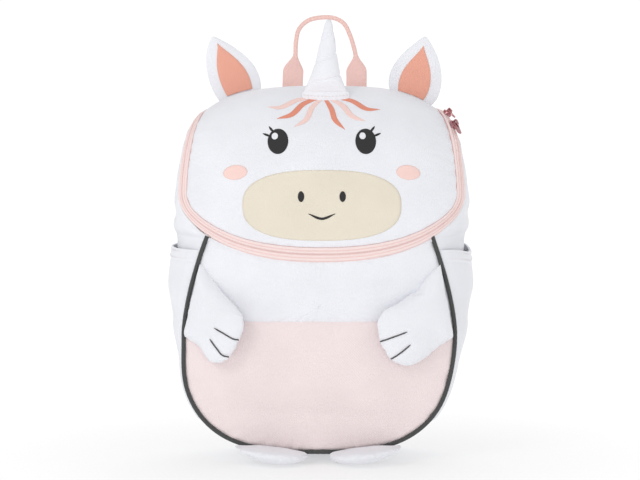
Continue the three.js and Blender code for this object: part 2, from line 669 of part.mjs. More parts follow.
// Edge of an ear: a curve from its foot to the tip, drawn towards a bow point.
function earEdge(footX, bow, tip, v) {
  return [bezier(footX, bow[0], tip[0], v), bezier(earFoot(footX), bow[1], tip[1], v)];
}
function earPoint({ side, innerX, innerBow, outerX, outerBow, tip }, u, v, face, lift) {
  const inner = earEdge(innerX, innerBow, tip, v);
  const outer = earEdge(outerX, outerBow, tip, v);
  const share = (u + 1) / 2;
  const x = mix(inner[0], outer[0], share);
  const straightFoot = mix(earFoot(innerX), earFoot(outerX), share);
  const z = mix(inner[1], outer[1], share) + (earFoot(x) - straightFoot) * (1 - v) ** 2;
  const fill = (1 - Math.abs(u) ** EAR.fillPower) * Math.sqrt(1 - v ** EAR.tipPower);
  return v3(side * x, EAR.y - lift + face * (EAR.edge / 2 + (EAR.thick / 2) * fill), z);
}
const earGrid = (ear, across, up, face) => up.map((v) => across.map((u) => earPoint(ear, u, v, face, 0)));
for (const ear of EARS) {
  const whole = [span(STEPS.earAcross, -1, 1), span(STEPS.earUp, 0, EAR.tipShare)];
  add(`ear_${ear.name}`, gridSolid(earGrid(ear, ...whole, -1), earGrid(ear, ...whole, 1)), 'white');
  const liningGrid = (lift) => span(STEPS.earUp, EAR.innerFoot, EAR.innerTop).map((v) => {
    const inset = EAR.inset * Math.max(1 - (v / EAR.innerTop) ** EAR.insetPower, EAR.leastInset);
    return span(STEPS.earAcross, -inset, inset).map((u) => earPoint(ear, u, v, -1, lift));
  });
  const lining = gridSolid(liningGrid(EAR.liningLift + EAR.lining), liningGrid(EAR.liningLift));
  add(`ear_inner_${ear.name}`, lining, 'coral');
}

// Horn: a stuffed cone with a flat sewn band at its foot and a seam wound round it
function hornSection({ rise, halfWidth, halfDepth }) {
  const up = rise / HORN_SECTIONS[HORN_SECTIONS.length - 1].rise;
  return span(STEPS.horn, 0, 2 * Math.PI).slice(1).map((angle) => {
    const wound = Math.cos(angle - 2 * Math.PI * HORN.turns * up);
    const squeeze = 1 - HORN.groove * Math.max(wound, 0) ** HORN.groovePower;
    const y = HORN.y + halfDepth * squeeze * Math.sin(angle);
    const foot = rise === 0 ? headHeightAt(y) : headHeightAt(HORN.y);
    const x = HORN.x + HORN.lean * up + halfWidth * squeeze * Math.cos(angle);
    return v3(x, y, foot + SEAM + rise);
  });
}
add('horn', loft(HORN_SECTIONS.map(hornSection)), 'white');

// Arms: padded mittens sewn into the front seam, lying forward over the belly
function armOutline(name) {
  const rootHalf = Math.hypot(ARM.rootTop[0] - ARM.rootBottom[0], ARM.rootTop[1] - ARM.rootBottom[1]) / 2;
  const rows = [{ out: 0, up: rootHalf }, ...MITTENS[name], { out: 0, up: -rootHalf }];
  const edge = new THREE.CatmullRomCurve3(rows.map(({ out, up }) => v3(out, up, 0)));
  const root = between(STEPS.armRoot, -rootHalf, rootHalf).map((up) => [0, up]);
  return [...edge.getSpacedPoints(STEPS.hand).map(({ x, y }) => [x, y]), ...root];
}
const dome = (rho) => Math.max(1 - rho ** STUFFING.power, 0) ** STUFFING.fullness;
for (const { name, side, lift } of ARMS) {
  const [top, bottom] = [ARM.rootTop, ARM.rootBottom].map(([x, z]) => v3(x, ARM.rootY, z));
  const along = top.clone().sub(bottom).normalize();
  const inward = v3(-along.z, 0, along.x);
  const angle = THREE.MathUtils.degToRad(lift);
  const out = inward.clone().multiplyScalar(Math.cos(angle)).add(v3(0, -Math.sin(angle), 0));
  const front = v3(0, -Math.cos(angle), 0).addScaledVector(inward, -Math.sin(angle));
  const root = top.clone().lerp(bottom, 0.5);
  const place = (a, b, n) => {
    const p = root.clone().addScaledVector(out, a).addScaledVector(along, b).addScaledVector(front, n);
    return side < 0 ? p.setX(-p.x) : p;
  };
  const face = (bulge) => (a, b, rho) => place(a, b, Math.sign(bulge) * ARM.edge / 2 + bulge * dome(rho));
  add(`arm_${name}`, ringSolid(armOutline(name), STEPS.rings, face(ARM.front), face(-ARM.back)), 'white');
}

// Feet: padded half rounds sewn into the front seam, resting on the floor
for (const [name, side] of [['left', -1], ['right', 1]]) {
  const toe = span(STEPS.toe, 0, Math.PI).map((a) => {
    const reach = FEET.length * Math.sin(a) ** FEET.roundness;
    return [FEET.halfWidth * Math.cos(a), FEET.rearY - reach];
  });
  const seam = between(STEPS.seam, -FEET.halfWidth, FEET.halfWidth).map((x) => [x, FEET.rearY]);
  const slope = Math.tan(THREE.MathUtils.degToRad(FEET.tilt));
  const face = (sign) => (a, y, rho) => {
    const z = FEET.midZ + slope * a + sign * (FEET.edge / 2 + (FEET.thick / 2) * dome(rho));
    return v3(side * (FEET.centreX + a), y, Math.max(z, 0));
  };
  add(`foot_${name}`, ringSolid([...toe, ...seam], STEPS.rings, face(1), face(-1)), 'white');
}

// Grab handle: flat where it is sewn to the back, folded to a narrow grip over the top
const handleCurve = new THREE.CatmullRomCurve3(HANDLE_ROUTE.map(({ x, z }) => v3(x, HANDLE.y, z)));
function handleSection(t) {
  const centre = handleCurve.getPointAt(t);
  const tangent = handleCurve.getTangentAt(t);
  const folded = THREE.MathUtils.smoothstep(centre.z, HANDLE.flatBelowZ, HANDLE.foldedAboveZ);
  const width = mix(HANDLE.endWidth, HANDLE.gripWidth, folded);
  const thick = mix(HANDLE.endThick, HANDLE.gripDepth, folded);
  return strapSection(centre, v3(tangent.z, 0, -tangent.x), v3(0, 1, 0), width, thick);
}
add('handle', loft(span(STEPS.handle, 0, 1).map(handleSection)), 'webbing');

// Shoulder straps: padded bands sewn high on the back, with an adjuster and a webbing end low on each side
function routeCurve(route, side) {
  return new THREE.CatmullRomCurve3(route.map(({ x, y, z }) => v3(side * x, y, z)));
}
function routeFrame(curve, t) {
  const tangent = curve.getTangentAt(t);
  const widthDir = v3(1, 0, 0).addScaledVector(tangent, -tangent.x).normalize();
  return { centre: curve.getPointAt(t), tangent, widthDir, thickDir: tangent.clone().cross(widthDir) };
}
function band(route, side, steps, width, thick) {
  const curve = routeCurve(route, side);
  return loft(span(steps, 0, 1).map((t) => {
    const { centre, widthDir, thickDir } = routeFrame(curve, t);
    return strapSection(centre, widthDir, thickDir, width, thick);
  }));
}
function lockShape() {
  const shape = new THREE.Shape();
  const [w, h] = [LOCK.width / 2, LOCK.height / 2];
  shape.moveTo(-w, -h).lineTo(w, -h).lineTo(w, h).lineTo(-w, h).closePath();
  for (const centre of [-h / 2 + LOCK.rim / 4, h / 2 - LOCK.rim / 4]) {
    const slot = new THREE.Path();
    const [a, b] = [w - LOCK.rim, LOCK.slot / 2];
    slot.moveTo(-a, centre - b).lineTo(-a, centre + b).lineTo(a, centre + b).lineTo(a, centre - b);
    slot.closePath();
    shape.holes.push(slot);
  }
  const plate = new THREE.ExtrudeGeometry(shape, { depth: LOCK.thick, bevelEnabled: false });
  return plate.translate(0, 0, -LOCK.thick / 2);
}
for (const [name, side] of [['left', -1], ['right', 1]]) {
  add(`strap_${name}`, band(STRAP_ROUTE, side, STEPS.strap, STRAP.width, STRAP.thick), 'white');
  const webbing = band(WEBBING_ROUTE, side, STEPS.webbing, STRAP.webbing, STRAP.webbingThick);
  add(`strap_webbing_${name}`, webbing, 'webbing');
  const { centre, tangent, widthDir } = routeFrame(routeCurve(STRAP_ROUTE, side), 1);
  const lockMiddle = centre.clone().addScaledVector(tangent, LOCK.height / 2 + SEAM);
  const placed = new THREE.Matrix4().makeBasis(widthDir, tangent, widthDir.clone().cross(tangent));
  add(`strap_lock_${name}`, lockShape().applyMatrix4(placed.setPosition(lockMiddle)), 'plastic');
}

// Zip sliders and pulls, on the right side of the zip near its rear end
const wasm = await Module();
wasm.setup();
function toSolid(geometry) {
  const bare = new THREE.BufferGeometry().setAttribute('position', geometry.getAttribute('position'));
  const welded = mergeVertices(bare, 1e-4);
  const vertProperties = welded.attributes.position.array;
  const triVerts = new Uint32Array(welded.index.array);
  return new wasm.Manifold(new wasm.Mesh({ numProp: 3, vertProperties, triVerts }));
}
function fused(a, b) {
  const { vertProperties, triVerts } = toSolid(a).add(toSolid(b)).getMesh();
  const geometry = new THREE.BufferGeometry();
  geometry.setAttribute('position', new THREE.BufferAttribute(vertProperties, 3));
  return geometry.setIndex(new THREE.BufferAttribute(triVerts, 1));
}

// Station of the zip at a length from its rear right end, measured along the coil.
function stationAt(length) {
  let run = 0;
  let last = headEdge(zipMiddle, 0);
  for (const t of span(STEPS.measure, 0, 1)) {
    const next = headEdge(zipMiddle, t);
    run += next.distanceTo(last);
    if (run >= length) return t;
    last = next;
  }
  return 1;
}

// A frame on the zip: local X runs down the zip, Y across it and Z out of it.
function zipFrame(t) {
  const step = 0.004;
  const down = headEdge(zipMiddle, t + step).sub(headEdge(zipMiddle, t - step)).normalize();
  const across = headEdge(ZIP.width, t).sub(headEdge(0, t));
  const out = down.clone().cross(across).normalize();
  const frame = new THREE.Matrix4().makeBasis(down, out.clone().cross(down), out);
  return frame.setPosition(headEdge(zipMiddle, t));
}

// A rounded bar drawn in local X and Y, standing on z = 0.
function roundedPlate(length, width, thick, eye) {
  const shape = new THREE.Shape();
  const [l, w, r] = [length / 2, width / 2, width * CORNER_SHARE];
  shape.moveTo(-l + r, -w).lineTo(l - r, -w).quadraticCurveTo(l, -w, l, -w + r).lineTo(l, w - r);
  shape.quadraticCurveTo(l, w, l - r, w).lineTo(-l + r, w).quadraticCurveTo(-l, w, -l, w - r);
  shape.lineTo(-l, -w + r).quadraticCurveTo(-l, -w, -l + r, -w);
  if (eye) {
    const hole = new THREE.Path();
    const [from, to, h] = [-l + PULL.bar, -l + PULL.bar + eye.length, eye.width / 2];
    hole.moveTo(from, -h).lineTo(from, h).lineTo(to, h).lineTo(to, -h).closePath();
    shape.holes.push(hole);
  }
  const options = { depth: thick, bevelEnabled: false, curveSegments: STEPS.corner };
  return new THREE.ExtrudeGeometry(shape, options);
}

// The arch over a slider that carries its pull, sunk a little into the plate.
function bridgeGeometry() {
  const [l, h, t] = [SLIDER.length / 2 - SLIDER.bridgeInset, SLIDER.bridgeRise, SLIDER.bridgeThick];
  const foot = -SLIDER.bridgeSink;
  const arch = new THREE.Shape();
  arch.moveTo(-l, foot).lineTo(-l + t, foot).lineTo(-l + t, h - 2 * t).lineTo(-l + 2 * t, h - t);
  arch.lineTo(l - 2 * t, h - t).lineTo(l - t, h - 2 * t).lineTo(l - t, foot).lineTo(l, foot);
  arch.lineTo(l, h - t).lineTo(l - t, h).lineTo(-l + t, h).lineTo(-l, h - t).closePath();
  const bridge = new THREE.ExtrudeGeometry(arch, { depth: SLIDER.bridgeWidth, bevelEnabled: false });
  bridge.translate(0, 0, -SLIDER.bridgeWidth / 2).rotateX(Math.PI / 2);
  return bridge.translate(0, 0, SLIDER.height);
}
for (const { name, fromRear } of SLIDERS) {
  const frame = zipFrame(stationAt(fromRear));
  const raised = new THREE.Matrix4().makeTranslation(0, 0, SLIDER.lift);
  const body = fused(roundedPlate(SLIDER.length, SLIDER.width, SLIDER.height), bridgeGeometry());
  add(`zip_slider_${name}`, body, 'metal').applyMatrix4(frame.clone().multiply(raised));
  const eye = { width: PULL.eyeWidth, length: PULL.eyeLength };
  const plate = roundedPlate(PULL.length, PULL.width, PULL.thick, eye);
  plate.translate(PULL.length / 2 - PULL.bar / 2, 0, -PULL.thick / 2);
  const pivot = new THREE.Matrix4().makeTranslation(0, 0, SLIDER.lift + SLIDER.height + PULL.pivotRise);
  add(`zip_pull_${name}`, plate, 'metal').applyMatrix4(frame.clone().multiply(pivot));
}

export default part;
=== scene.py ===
# %% [markdown]
# # A child's backpack in the form of a unicorn
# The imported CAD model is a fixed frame: it gives every piece its place and its size. This lesson dresses it.
# Each soft solid is made again as cloth on the same surfaces, only finer, and then gets its seams, folds,
# stitches and a woven material. Metal and plastic parts stay as they are and only get a finish.

import bmesh
import bpy
import numpy as np
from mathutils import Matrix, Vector


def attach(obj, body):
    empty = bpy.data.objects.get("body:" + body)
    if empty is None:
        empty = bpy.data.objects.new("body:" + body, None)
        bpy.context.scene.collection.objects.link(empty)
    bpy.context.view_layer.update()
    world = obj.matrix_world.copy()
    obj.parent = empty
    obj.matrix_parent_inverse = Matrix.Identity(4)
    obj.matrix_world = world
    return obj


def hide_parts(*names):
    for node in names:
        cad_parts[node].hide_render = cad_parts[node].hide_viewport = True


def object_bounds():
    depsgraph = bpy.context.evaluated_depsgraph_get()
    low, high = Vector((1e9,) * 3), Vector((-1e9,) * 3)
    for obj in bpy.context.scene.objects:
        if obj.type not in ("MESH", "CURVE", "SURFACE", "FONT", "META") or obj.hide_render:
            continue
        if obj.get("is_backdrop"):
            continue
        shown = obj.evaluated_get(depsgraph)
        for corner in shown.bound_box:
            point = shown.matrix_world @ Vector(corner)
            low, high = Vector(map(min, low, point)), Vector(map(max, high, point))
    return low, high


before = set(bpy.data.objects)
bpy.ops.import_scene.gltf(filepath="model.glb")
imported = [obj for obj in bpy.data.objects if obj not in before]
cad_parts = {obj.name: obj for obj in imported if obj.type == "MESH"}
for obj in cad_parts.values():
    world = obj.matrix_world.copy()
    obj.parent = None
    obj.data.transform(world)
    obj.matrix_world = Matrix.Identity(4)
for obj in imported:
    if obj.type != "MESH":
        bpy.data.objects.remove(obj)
cad_box = [list(corner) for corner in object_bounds()]
MM = 0.001  # sizes below are in millimetres, and Blender works in metres
print("CAD box in mm:", np.round(np.array(cad_box) / MM, 1).tolist())

# %% [markdown]
# ## Camera
# The bag is seen straight from the front, slightly from above, with hardly any perspective. That is a long
# lens a good way off. The lens is worked out from one measured fact: how many millimetres of the bag's front
# a pixel of the 640 x 480 image covers. The colours below are plain sRGB values, so the picture is shown in
# plain sRGB too.

# %% Camera
PIXEL = 0.82  # millimetres of the bag's front for each pixel
IMAGE_WIDTH = 640
SENSOR = 36.0
DISTANCE = 2250.0
ELEVATION = np.radians(4.0)
AIM = np.array([-1.5, -60.0, 186.0])  # the point of the bag in the middle of the image


def aimed(obj, place, target):
    """Puts an object at a place in millimetres and turns its -Z axis to a target."""
    obj.location = Vector(place) * MM
    obj.rotation_euler = Vector(np.subtract(target, place)).to_track_quat("-Z", "Y").to_euler()
    bpy.context.scene.collection.objects.link(obj)
    return obj


camera_data = bpy.data.cameras.new("camera")
camera_data.sensor_width = SENSOR
camera_data.lens = SENSOR * DISTANCE / (PIXEL * IMAGE_WIDTH)
back_off = np.array([0.0, -np.cos(ELEVATION), np.sin(ELEVATION)]) * DISTANCE
bpy.context.scene.camera = aimed(bpy.data.objects.new("camera", camera_data), AIM + back_off, AIM)
bpy.context.scene.view_settings.view_transform = "Standard"
print("lens in mm:", round(camera_data.lens, 1))

# %% [markdown]
# ## Material tools
# Every fabric here is woven, so one function makes them all. Threads cross at right angles, which a product
# of two sine waves shows well: its peaks are the places where a thread lies on top. The pattern follows the
# cloth through a UV map that holds the cloth's own flat coordinates in metres, so one thread is as wide on
# the side of the bag as on the front. Broad, faint noise keeps the colour from looking painted.


# %% Material tools
def linear(hex_colour, share=1.0):
    """Linear RGBA of an sRGB hex colour, darkened to a share of its light."""
    s = np.array([int(hex_colour[i : i + 2], 16) for i in (1, 3, 5)]) / 255
    rgb = np.where(s <= 0.04045, s / 12.92, ((s + 0.055) / 1.055) ** 2.4) * share
    return (*rgb.tolist(), 1.0)


def add(tree, kind, inputs=None, **settings):
    """Adds a shader node. An input is a number, a colour or another node's output, which is linked."""
    node = tree.nodes.new("ShaderNode" + kind)
    for key, value in settings.items():
        setattr(node, key, value)
    for key, value in (inputs or {}).items():
        if isinstance(value, bpy.types.NodeSocket):
            tree.links.new(value, node.inputs[key])
        else:
            node.inputs[key].default_value = value
    return node


def blank(name, **shader):
    """A new material with a shader and an output. Returns the material, its tree and the shader."""
    material = bpy.data.materials.new(name)
    material.use_nodes = True
    tree = material.node_tree
    tree.nodes.clear()
    surface = add(tree, "BsdfPrincipled", {key.replace("_", " "): value for key, value in shader.items()})
    add(tree, "OutputMaterial", {"Surface": surface.outputs["BSDF"]})
    return material, tree, surface


def mottled(tree, surface, colour, size, change):
    """Lets the colour drift between itself and a darker share of itself, in patches of a size in mm."""
    place = add(tree, "TexCoord").outputs["Object"]
    cloud = add(tree, "TexNoise", {"Vector": place, "Scale": 1 / (size * MM), "Detail": 4.0})
    drift = add(tree, "MapRange", {"Value": cloud.outputs["Fac"], "From Min": 0.3, "From Max": 0.7})
    light, dark = linear(colour), linear(colour, 1 - change)
    tint = add(tree, "Mix", {0: drift.outputs[0], 6: light, 7: dark}, data_type="RGBA")
    tree.links.new(tint.outputs[2], surface.inputs["Base Color"])


def thread_wave(tree, axis, pitch):
    """Sine wave along one axis of the cloth, with one thread for each half turn. The pitch is in mm."""
    turns = add(tree, "Math", {0: axis, 1: np.pi / (pitch * MM)}, operation="MULTIPLY")
    return add(tree, "Math", {0: turns.outputs[0]}, operation="SINE").outputs[0]


def woven(name, colour, threads, depth, change=0.05, patch=35.0, **shader):
    """Cloth with threads of two widths in mm crossed at right angles, and a relief of a depth in mm."""
    material, tree, surface = blank(name, **{"Roughness": 0.85, "Sheen_Weight": 0.12, **shader})
    flat = add(tree, "SeparateXYZ", {"Vector": add(tree, "UVMap", uv_map="cloth").outputs["UV"]})
    warp = thread_wave(tree, flat.outputs["X"], threads[0])
    weft = thread_wave(tree, flat.outputs["Y"], threads[1])
    weave = add(tree, "Math", {0: warp, 1: weft}, operation="MULTIPLY")
    relief = {"Height": weave.outputs[0], "Strength": 1.0, "Distance": depth * MM}
    bump = add(tree, "Bump", relief)
    tree.links.new(bump.outputs["Normal"], surface.inputs["Normal"])
    mottled(tree, surface, colour, patch, change)
    return material


# %% [markdown]
# ## Fabrics
# The body is a light polyester canvas. Its threads are about 0.5 mm wide, too fine for the image, so they are
# drawn twice as wide. The webbing of the handle is ribbed along its length, and printed colours lie on the
# canvas and keep a little of its weave.

# %% Fabrics
CANVAS = (1.1, 1.1)
CANVAS_RELIEF = 0.055
# Canvas is matt, and its crossed threads break up the light.
white = woven("white_polyester_canvas", "#ebecf1", CANVAS, CANVAS_RELIEF)
pink = woven("pink_polyester_canvas", "#efe0e0", CANVAS, CANVAS_RELIEF)
coral = woven("coral_polyester_canvas", "#e9a792", CANVAS, CANVAS_RELIEF)
# Screen print fills the weave, so it looks smoother than the canvas round it.
charcoal_print = woven("charcoal_print_on_canvas", "#1e1e20", CANVAS, 0.02, Roughness=0.7)
sand_print = woven("sand_print_on_canvas", "#e5dccb", CANVAS, 0.03)
coral_print = woven("coral_print_on_canvas", "#e39078", CANVAS, 0.03)
blush_print = woven("blush_print_on_canvas", "#f4d3cc", CANVAS, 0.03)
# Nylon has a soft shine. Piping, webbing and thread show the turns of their yarn along their length.
zip_nylon = woven("pink_nylon_coil", "#e9cac7", (1.3, 1.3), 0.02, Roughness=0.45)
piping_cord = woven("dark_piping_cord", "#414342", (1.2, 2.4), 0.25, Roughness=0.7)
webbing = woven("pink_polypropylene_webbing", "#f2cac2", (1.6, 3.2), 0.12, Roughness=0.7)
dark_thread = woven("charcoal_sewing_thread", "#4a4748", (0.5, 0.8), 0.05, Roughness=0.6)
pale_thread = woven("pale_sewing_thread", "#e6dfe0", (0.5, 0.8), 0.05, Roughness=0.6)
print("fabrics:", [m.name for m in bpy.data.materials])

# %% [markdown]
# The zip's tape is a dense twill with ribs woven along it, and a darker line of painted shade lies in each valley
# between two ribs. The tape's flat coordinates give the distance across the zip, so the lines are a cosine of it.

# %% Zip tape
ZIP_WIDTH, RIB = 12.5, 2.9  # the zip's whole width and the distance between two lines of its tape
zip_tape, tree, surface = blank("pink_zip_tape_twill", Roughness=0.75, Sheen_Weight=0.12)
across = add(tree, "SeparateXYZ", {"Vector": add(tree, "UVMap", uv_map="cloth").outputs["UV"]}).outputs["X"]
off_coil = add(tree, "Math", {0: across, 1: ZIP_WIDTH / 2 * MM}, operation="SUBTRACT")
turns = add(tree, "Math", {0: off_coil.outputs[0], 1: 2 * np.pi / (RIB * MM)}, operation="MULTIPLY")
# Painted shade: the cosine peaks in each valley between two ribs, where the tape is painted darker.
valley_shade = add(tree, "Math", {0: turns.outputs[0]}, operation="COSINE")
line = add(tree, "MapRange", {"Value": valley_shade.outputs[0], "From Min": 0.5, "From Max": 1.0, "To Max": 0.6})
# Painted shadow of the flap: the tape is painted dark in a thin band at its inner edge, under the flap's folded
# edge.
edge_band = add(tree, "MapRange", {"Value": across, "From Min": 0.9 * MM, "From Max": 0.5 * MM})
ribs = {0: line.outputs[0], 6: linear("#f0dcd9"), 7: linear("#e4b9b6")}
ribs = add(tree, "Mix", ribs, data_type="RGBA").outputs[2]
tint_with_painted_shade = add(tree, "Mix", {0: edge_band.outputs[0], 6: ribs, 7: linear("#c58f8e")}, data_type="RGBA").outputs[2]
tree.links.new(tint_with_painted_shade, surface.inputs["Base Color"])
twill = add(tree, "Bump", {"Height": thread_wave(tree, across, 0.5), "Strength": 1.0, "Distance": 0.03 * MM})
tree.links.new(twill.outputs["Normal"], surface.inputs["Normal"])
print("zip tape:", zip_tape.name)

# %% [markdown]
# ## Hard finishes
# The zip's sliders are die-cast zinc with a rose coating: a metal with a soft gloss and tiny unevenness. The
# strap adjusters are moulded acetal, slightly glossy with a fine spark-eroded grain.


# %% Hard finishes
def grained(name, colour, grain, depth, change=0.06, **shader):
    """A hard surface with a grain of a size and depth in mm, and a slight change of colour."""
    material, tree, surface = blank(name, **shader)
    place = add(tree, "TexCoord").outputs["Object"]
    noise = add(tree, "TexNoise", {"Vector": place, "Scale": 1 / (grain * MM), "Detail": 3.0})
    bump = add(tree, "Bump", {"Height": noise.outputs["Fac"], "Strength": 1.0, "Distance": depth * MM})
    tree.links.new(bump.outputs["Normal"], surface.inputs["Normal"])
    mottled(tree, surface, colour, 6.0, change)
    return material


rose_metal = grained("rose_coated_zinc", "#b98287", 1.2, 0.02, 0.15, Metallic=1.0, Roughness=0.28)
pink_plastic = grained("pink_moulded_acetal", "#e5bcb6", 0.8, 0.03, Roughness=0.42)
print("hard finishes:", rose_metal.name, pink_plastic.name)

# %% [markdown]
# ## Mesh tools
# A piece is one or more patches. A patch is a grid of points with a grid of flat coordinates, and quads join
# the neighbours. Where a grid closes on itself or shrinks to a pole, its points repeat, and merging them
# closes the seam. A cloth sheet is then turned to face away from the middle of the bag, and a Solidify
# modifier gives it a wall that grows inwards, so its outer side stays where the function put it.

# %% Mesh tools
BAG_MIDDLE = (0.0, 0.0, 150.0)


def piece(name, patches, material, node=None, wall=0.0, held=None, behind=BAG_MIDDLE):
    """The node is the CAD solid that it stands for. A wall in mm makes a sheet of cloth, and when held is given,
    the sheet's flat cut and its area are printed. A sheet turns its back to the point behind it.
    """
    quads, first = [], 0
    for points, _ in patches:
        at = first + np.arange(points.shape[0] * points.shape[1]).reshape(points.shape[:2])
        quads.append(np.stack([at[:-1, :-1], at[:-1, 1:], at[1:, 1:], at[1:, :-1]], -1).reshape(-1, 4))
        first += at.size
    quads = np.concatenate(quads)
    places = np.concatenate([points.reshape(-1, 3) for points, _ in patches])
    flats = np.concatenate([flat.reshape(-1, 2) for _, flat in patches])
    mesh = bpy.data.meshes.new(name)
    mesh.from_pydata(places * MM, [], quads)
    layer = mesh.uv_layers.new(name="cloth")
    layer.data.foreach_set("uv", (flats[quads.ravel()] * MM).ravel())
    close_up(mesh, behind)
    mesh.materials.append(material)
    obj = bpy.data.objects.new(name, mesh)
    bpy.context.scene.collection.objects.link(obj)
    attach(obj, "bag")
    if node:
        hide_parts(node)
    if held:
        size = (flats.max(0) - flats.min(0)) * MM
        area = sum(face.area for face in mesh.polygons)
        min(area, float(size.prod()))
        print(f"{name}: cut {size[0] / MM:.0f} x {size[1] / MM:.0f} mm, {area * 1e4:.0f} cm2")
    if wall:
        layer_of_cloth = obj.modifiers.new("wall", "SOLIDIFY")
        layer_of_cloth.thickness = wall * MM
        layer_of_cloth.offset = -1.0
    return obj


def close_up(mesh, behind):
    """Merges repeated points, turns the faces outwards and shades them smoothly."""
    work = bmesh.new()
    work.from_mesh(mesh)
    bmesh.ops.remove_doubles(work, verts=work.verts, dist=0.001 * MM)
    bmesh.ops.recalc_face_normals(work, faces=work.faces)
    if any(edge.is_boundary for edge in work.edges):
        inner = Vector(behind) * MM
        turned = sum(f.calc_area() * f.normal.dot(f.calc_center_median() - inner) for f in work.faces)
        if turned < 0:
            bmesh.ops.reverse_faces(work, faces=work.faces)
    work.to_mesh(mesh)
    work.free()
    mesh.polygons.foreach_set("use_smooth", np.ones(len(mesh.polygons), bool))


# %% Array tools
def unit(vectors):
    """Vectors of length one: each is divided by its own length."""
    return vectors / np.maximum(np.linalg.norm(vectors, axis=-1, keepdims=True), 1e-9)


def length_along(points):
    """Length of a polyline up to each of its points."""
    return np.r_[0, np.cumsum(np.linalg.norm(np.diff(points, axis=0), axis=-1))]


def read_at(where, run, values):
    """Rows of values that are given along a run, read at other lengths of it."""
    return np.stack([np.interp(where, run, column) for column in values.T], -1)


def resampled(points, count):
    """Points of a polyline at even steps of its length."""
    run = length_along(points)
    return read_at(np.linspace(0, run[-1], count), run, points)


def capped(rings):
    """Rings of a tube, with both ends drawn to their middles."""
    ends = [np.broadcast_to(rings[i].mean(0), (1, *rings.shape[1:])) for i in (0, -1)]
    return np.concatenate([ends[0], rings, ends[1]])


def smooth(t):
    """The S curve 3 t^2 - 2 t^3, flat at both ends."""
    t = np.clip(t, 0, 1)
    return t * t * (3 - 2 * t)


def mix(a, b, t):
    """A value between a and b: a + (b - a) t."""
    return a + (b - a) * t


# %% [markdown]
# ## Creases and waves
# Real cloth is never quite even. Two cheap functions give most of it: a sum of long waves in many directions,
# which reads as soft unevenness, and a table of folds, each a valley along a line that fades at both ends.


# %% Creases and waves
def waves(a, b, length, seed):
    """Mean of ten plane waves of about one length in mm, in seeded directions. Runs from about -1 to 1."""
    seeded = np.random.default_rng(seed)
    turn, phase, stretch = seeded.uniform([0, 0, 0.75], [np.pi, 2 * np.pi, 1.3], (10, 3)).T
    number = 2 * np.pi / (length * stretch)
    along = a[..., None] * np.cos(turn) + b[..., None] * np.sin(turn)
    return np.cos(number * along + phase).mean(-1) * 2.0


def folds(a, b, table):
    """Sum of valleys. A row is (a0, b0, a1, b1, depth, width): a line, and a bell curve across it in mm."""
    height = np.zeros(np.broadcast(a, b).shape)
    for a0, b0, a1, b1, depth, width in table:
        run = np.hypot(a1 - a0, b1 - b0)
        along = ((a - a0) * (a1 - a0) + (b - b0) * (b1 - b0)) / run**2
        aside = ((a - a0) * (b1 - b0) - (b - b0) * (a1 - a0)) / run
        fade = smooth(np.minimum(along, 1 - along) * 3 + 0.3)
        height -= depth * np.exp(-((aside / width) ** 2)) * fade
    return height


def distance_to(a, b, outline):
    """Shortest distance in mm from points (a, b) to the points of a dense outline."""
    flat = np.stack([a.ravel(), b.ravel()], -1)
    parts = [np.linalg.norm(part[:, None] - outline[None], axis=-1).min(1)
             for part in np.array_split(flat, len(flat) // 4000 + 1)]
    return np.concatenate(parts).reshape(a.shape)


def shrunk(outline, middle, rings, power=1.4):
    """Rings of a closed outline shrunk to a middle, closer together at the edge. Returns a, b and rho.

    rho, the share of the outline's size, is 1 - (1 - s)^power for even steps s from 0 to 1.
    """
    rho = 1 - (1 - np.linspace(0, 1, rings + 1)) ** power
    flat = middle + (outline - middle) * rho[:, None, None]
    return flat[..., 0], flat[..., 1], np.broadcast_to(rho[:, None], flat.shape[:2])


def raised(surface, a, b, height, step=0.4):
    """Points of a surface moved out by a height along its normal, the cross product of two small steps."""
    across = surface(a + step, b) - surface(a - step, b)
    along = surface(a, b + step) - surface(a, b - step)
    return surface(a, b) + unit(np.cross(across, along)) * np.asarray(height)[..., None]


# %% [markdown]
# ## Shared surfaces of the bag
# The sewn bag has three main surfaces. The head is a side profile carried across the bag, with its sides
# rolled back. The belly is an egg that swells out of its piped seam. The gusset is the strip between the
# piping and the back. They are the surfaces of the CAD model's solids, so that the cloth lies where the
# solids are.

# %% Head surface
CLOTH, SEAM = 1.6, 0.6  # thickness of the cloth with its backing, and the room left at a seam
HEAD_FRONT_Y, HANG_Z, BEND_Z, CROWN, REAR = -69.0, 165.0, 190.0, (14.0, 311.0), (46.0, 309.0)
HANG_RUN, ROUNDNESS, SLOPE_STEP = 20.0, 2.2, 4.0
SIDE_ROLL, ROLL_HALF, ROLL_POWER = 40.0, 118.0, 3.7  # how far the sides roll back at a half width, and how late
quarter = np.linspace(0, np.pi / 2, 97)
lean = np.stack([np.cos(quarter).clip(0), np.sin(quarter)]) ** (2 / ROUNDNESS)
PROFILE_Y = np.r_[HEAD_FRONT_Y, HEAD_FRONT_Y, mix(CROWN[0], HEAD_FRONT_Y, lean[0]), REAR[0], REAR[0] + 12]
PROFILE_Z = np.r_[HANG_Z - HANG_RUN, HANG_Z, mix(BEND_Z, CROWN[1], lean[1]), REAR[1], REAR[1] - 1.5]
PROFILE_RUN = np.r_[0, np.cumsum(np.hypot(np.diff(PROFILE_Y), np.diff(PROFILE_Z)))] - HANG_RUN
REAR_H = PROFILE_RUN[-2]


def profile(h):
    """Side profile of the head: (y, z) at a length h above the hang point."""
    return np.interp(h, PROFILE_RUN, PROFILE_Y), np.interp(h, PROFILE_RUN, PROFILE_Z)


def side_roll(x):
    """How far the head's sides roll back: a power of the distance from the middle."""
    return SIDE_ROLL * (np.abs(x) / ROLL_HALF) ** ROLL_POWER


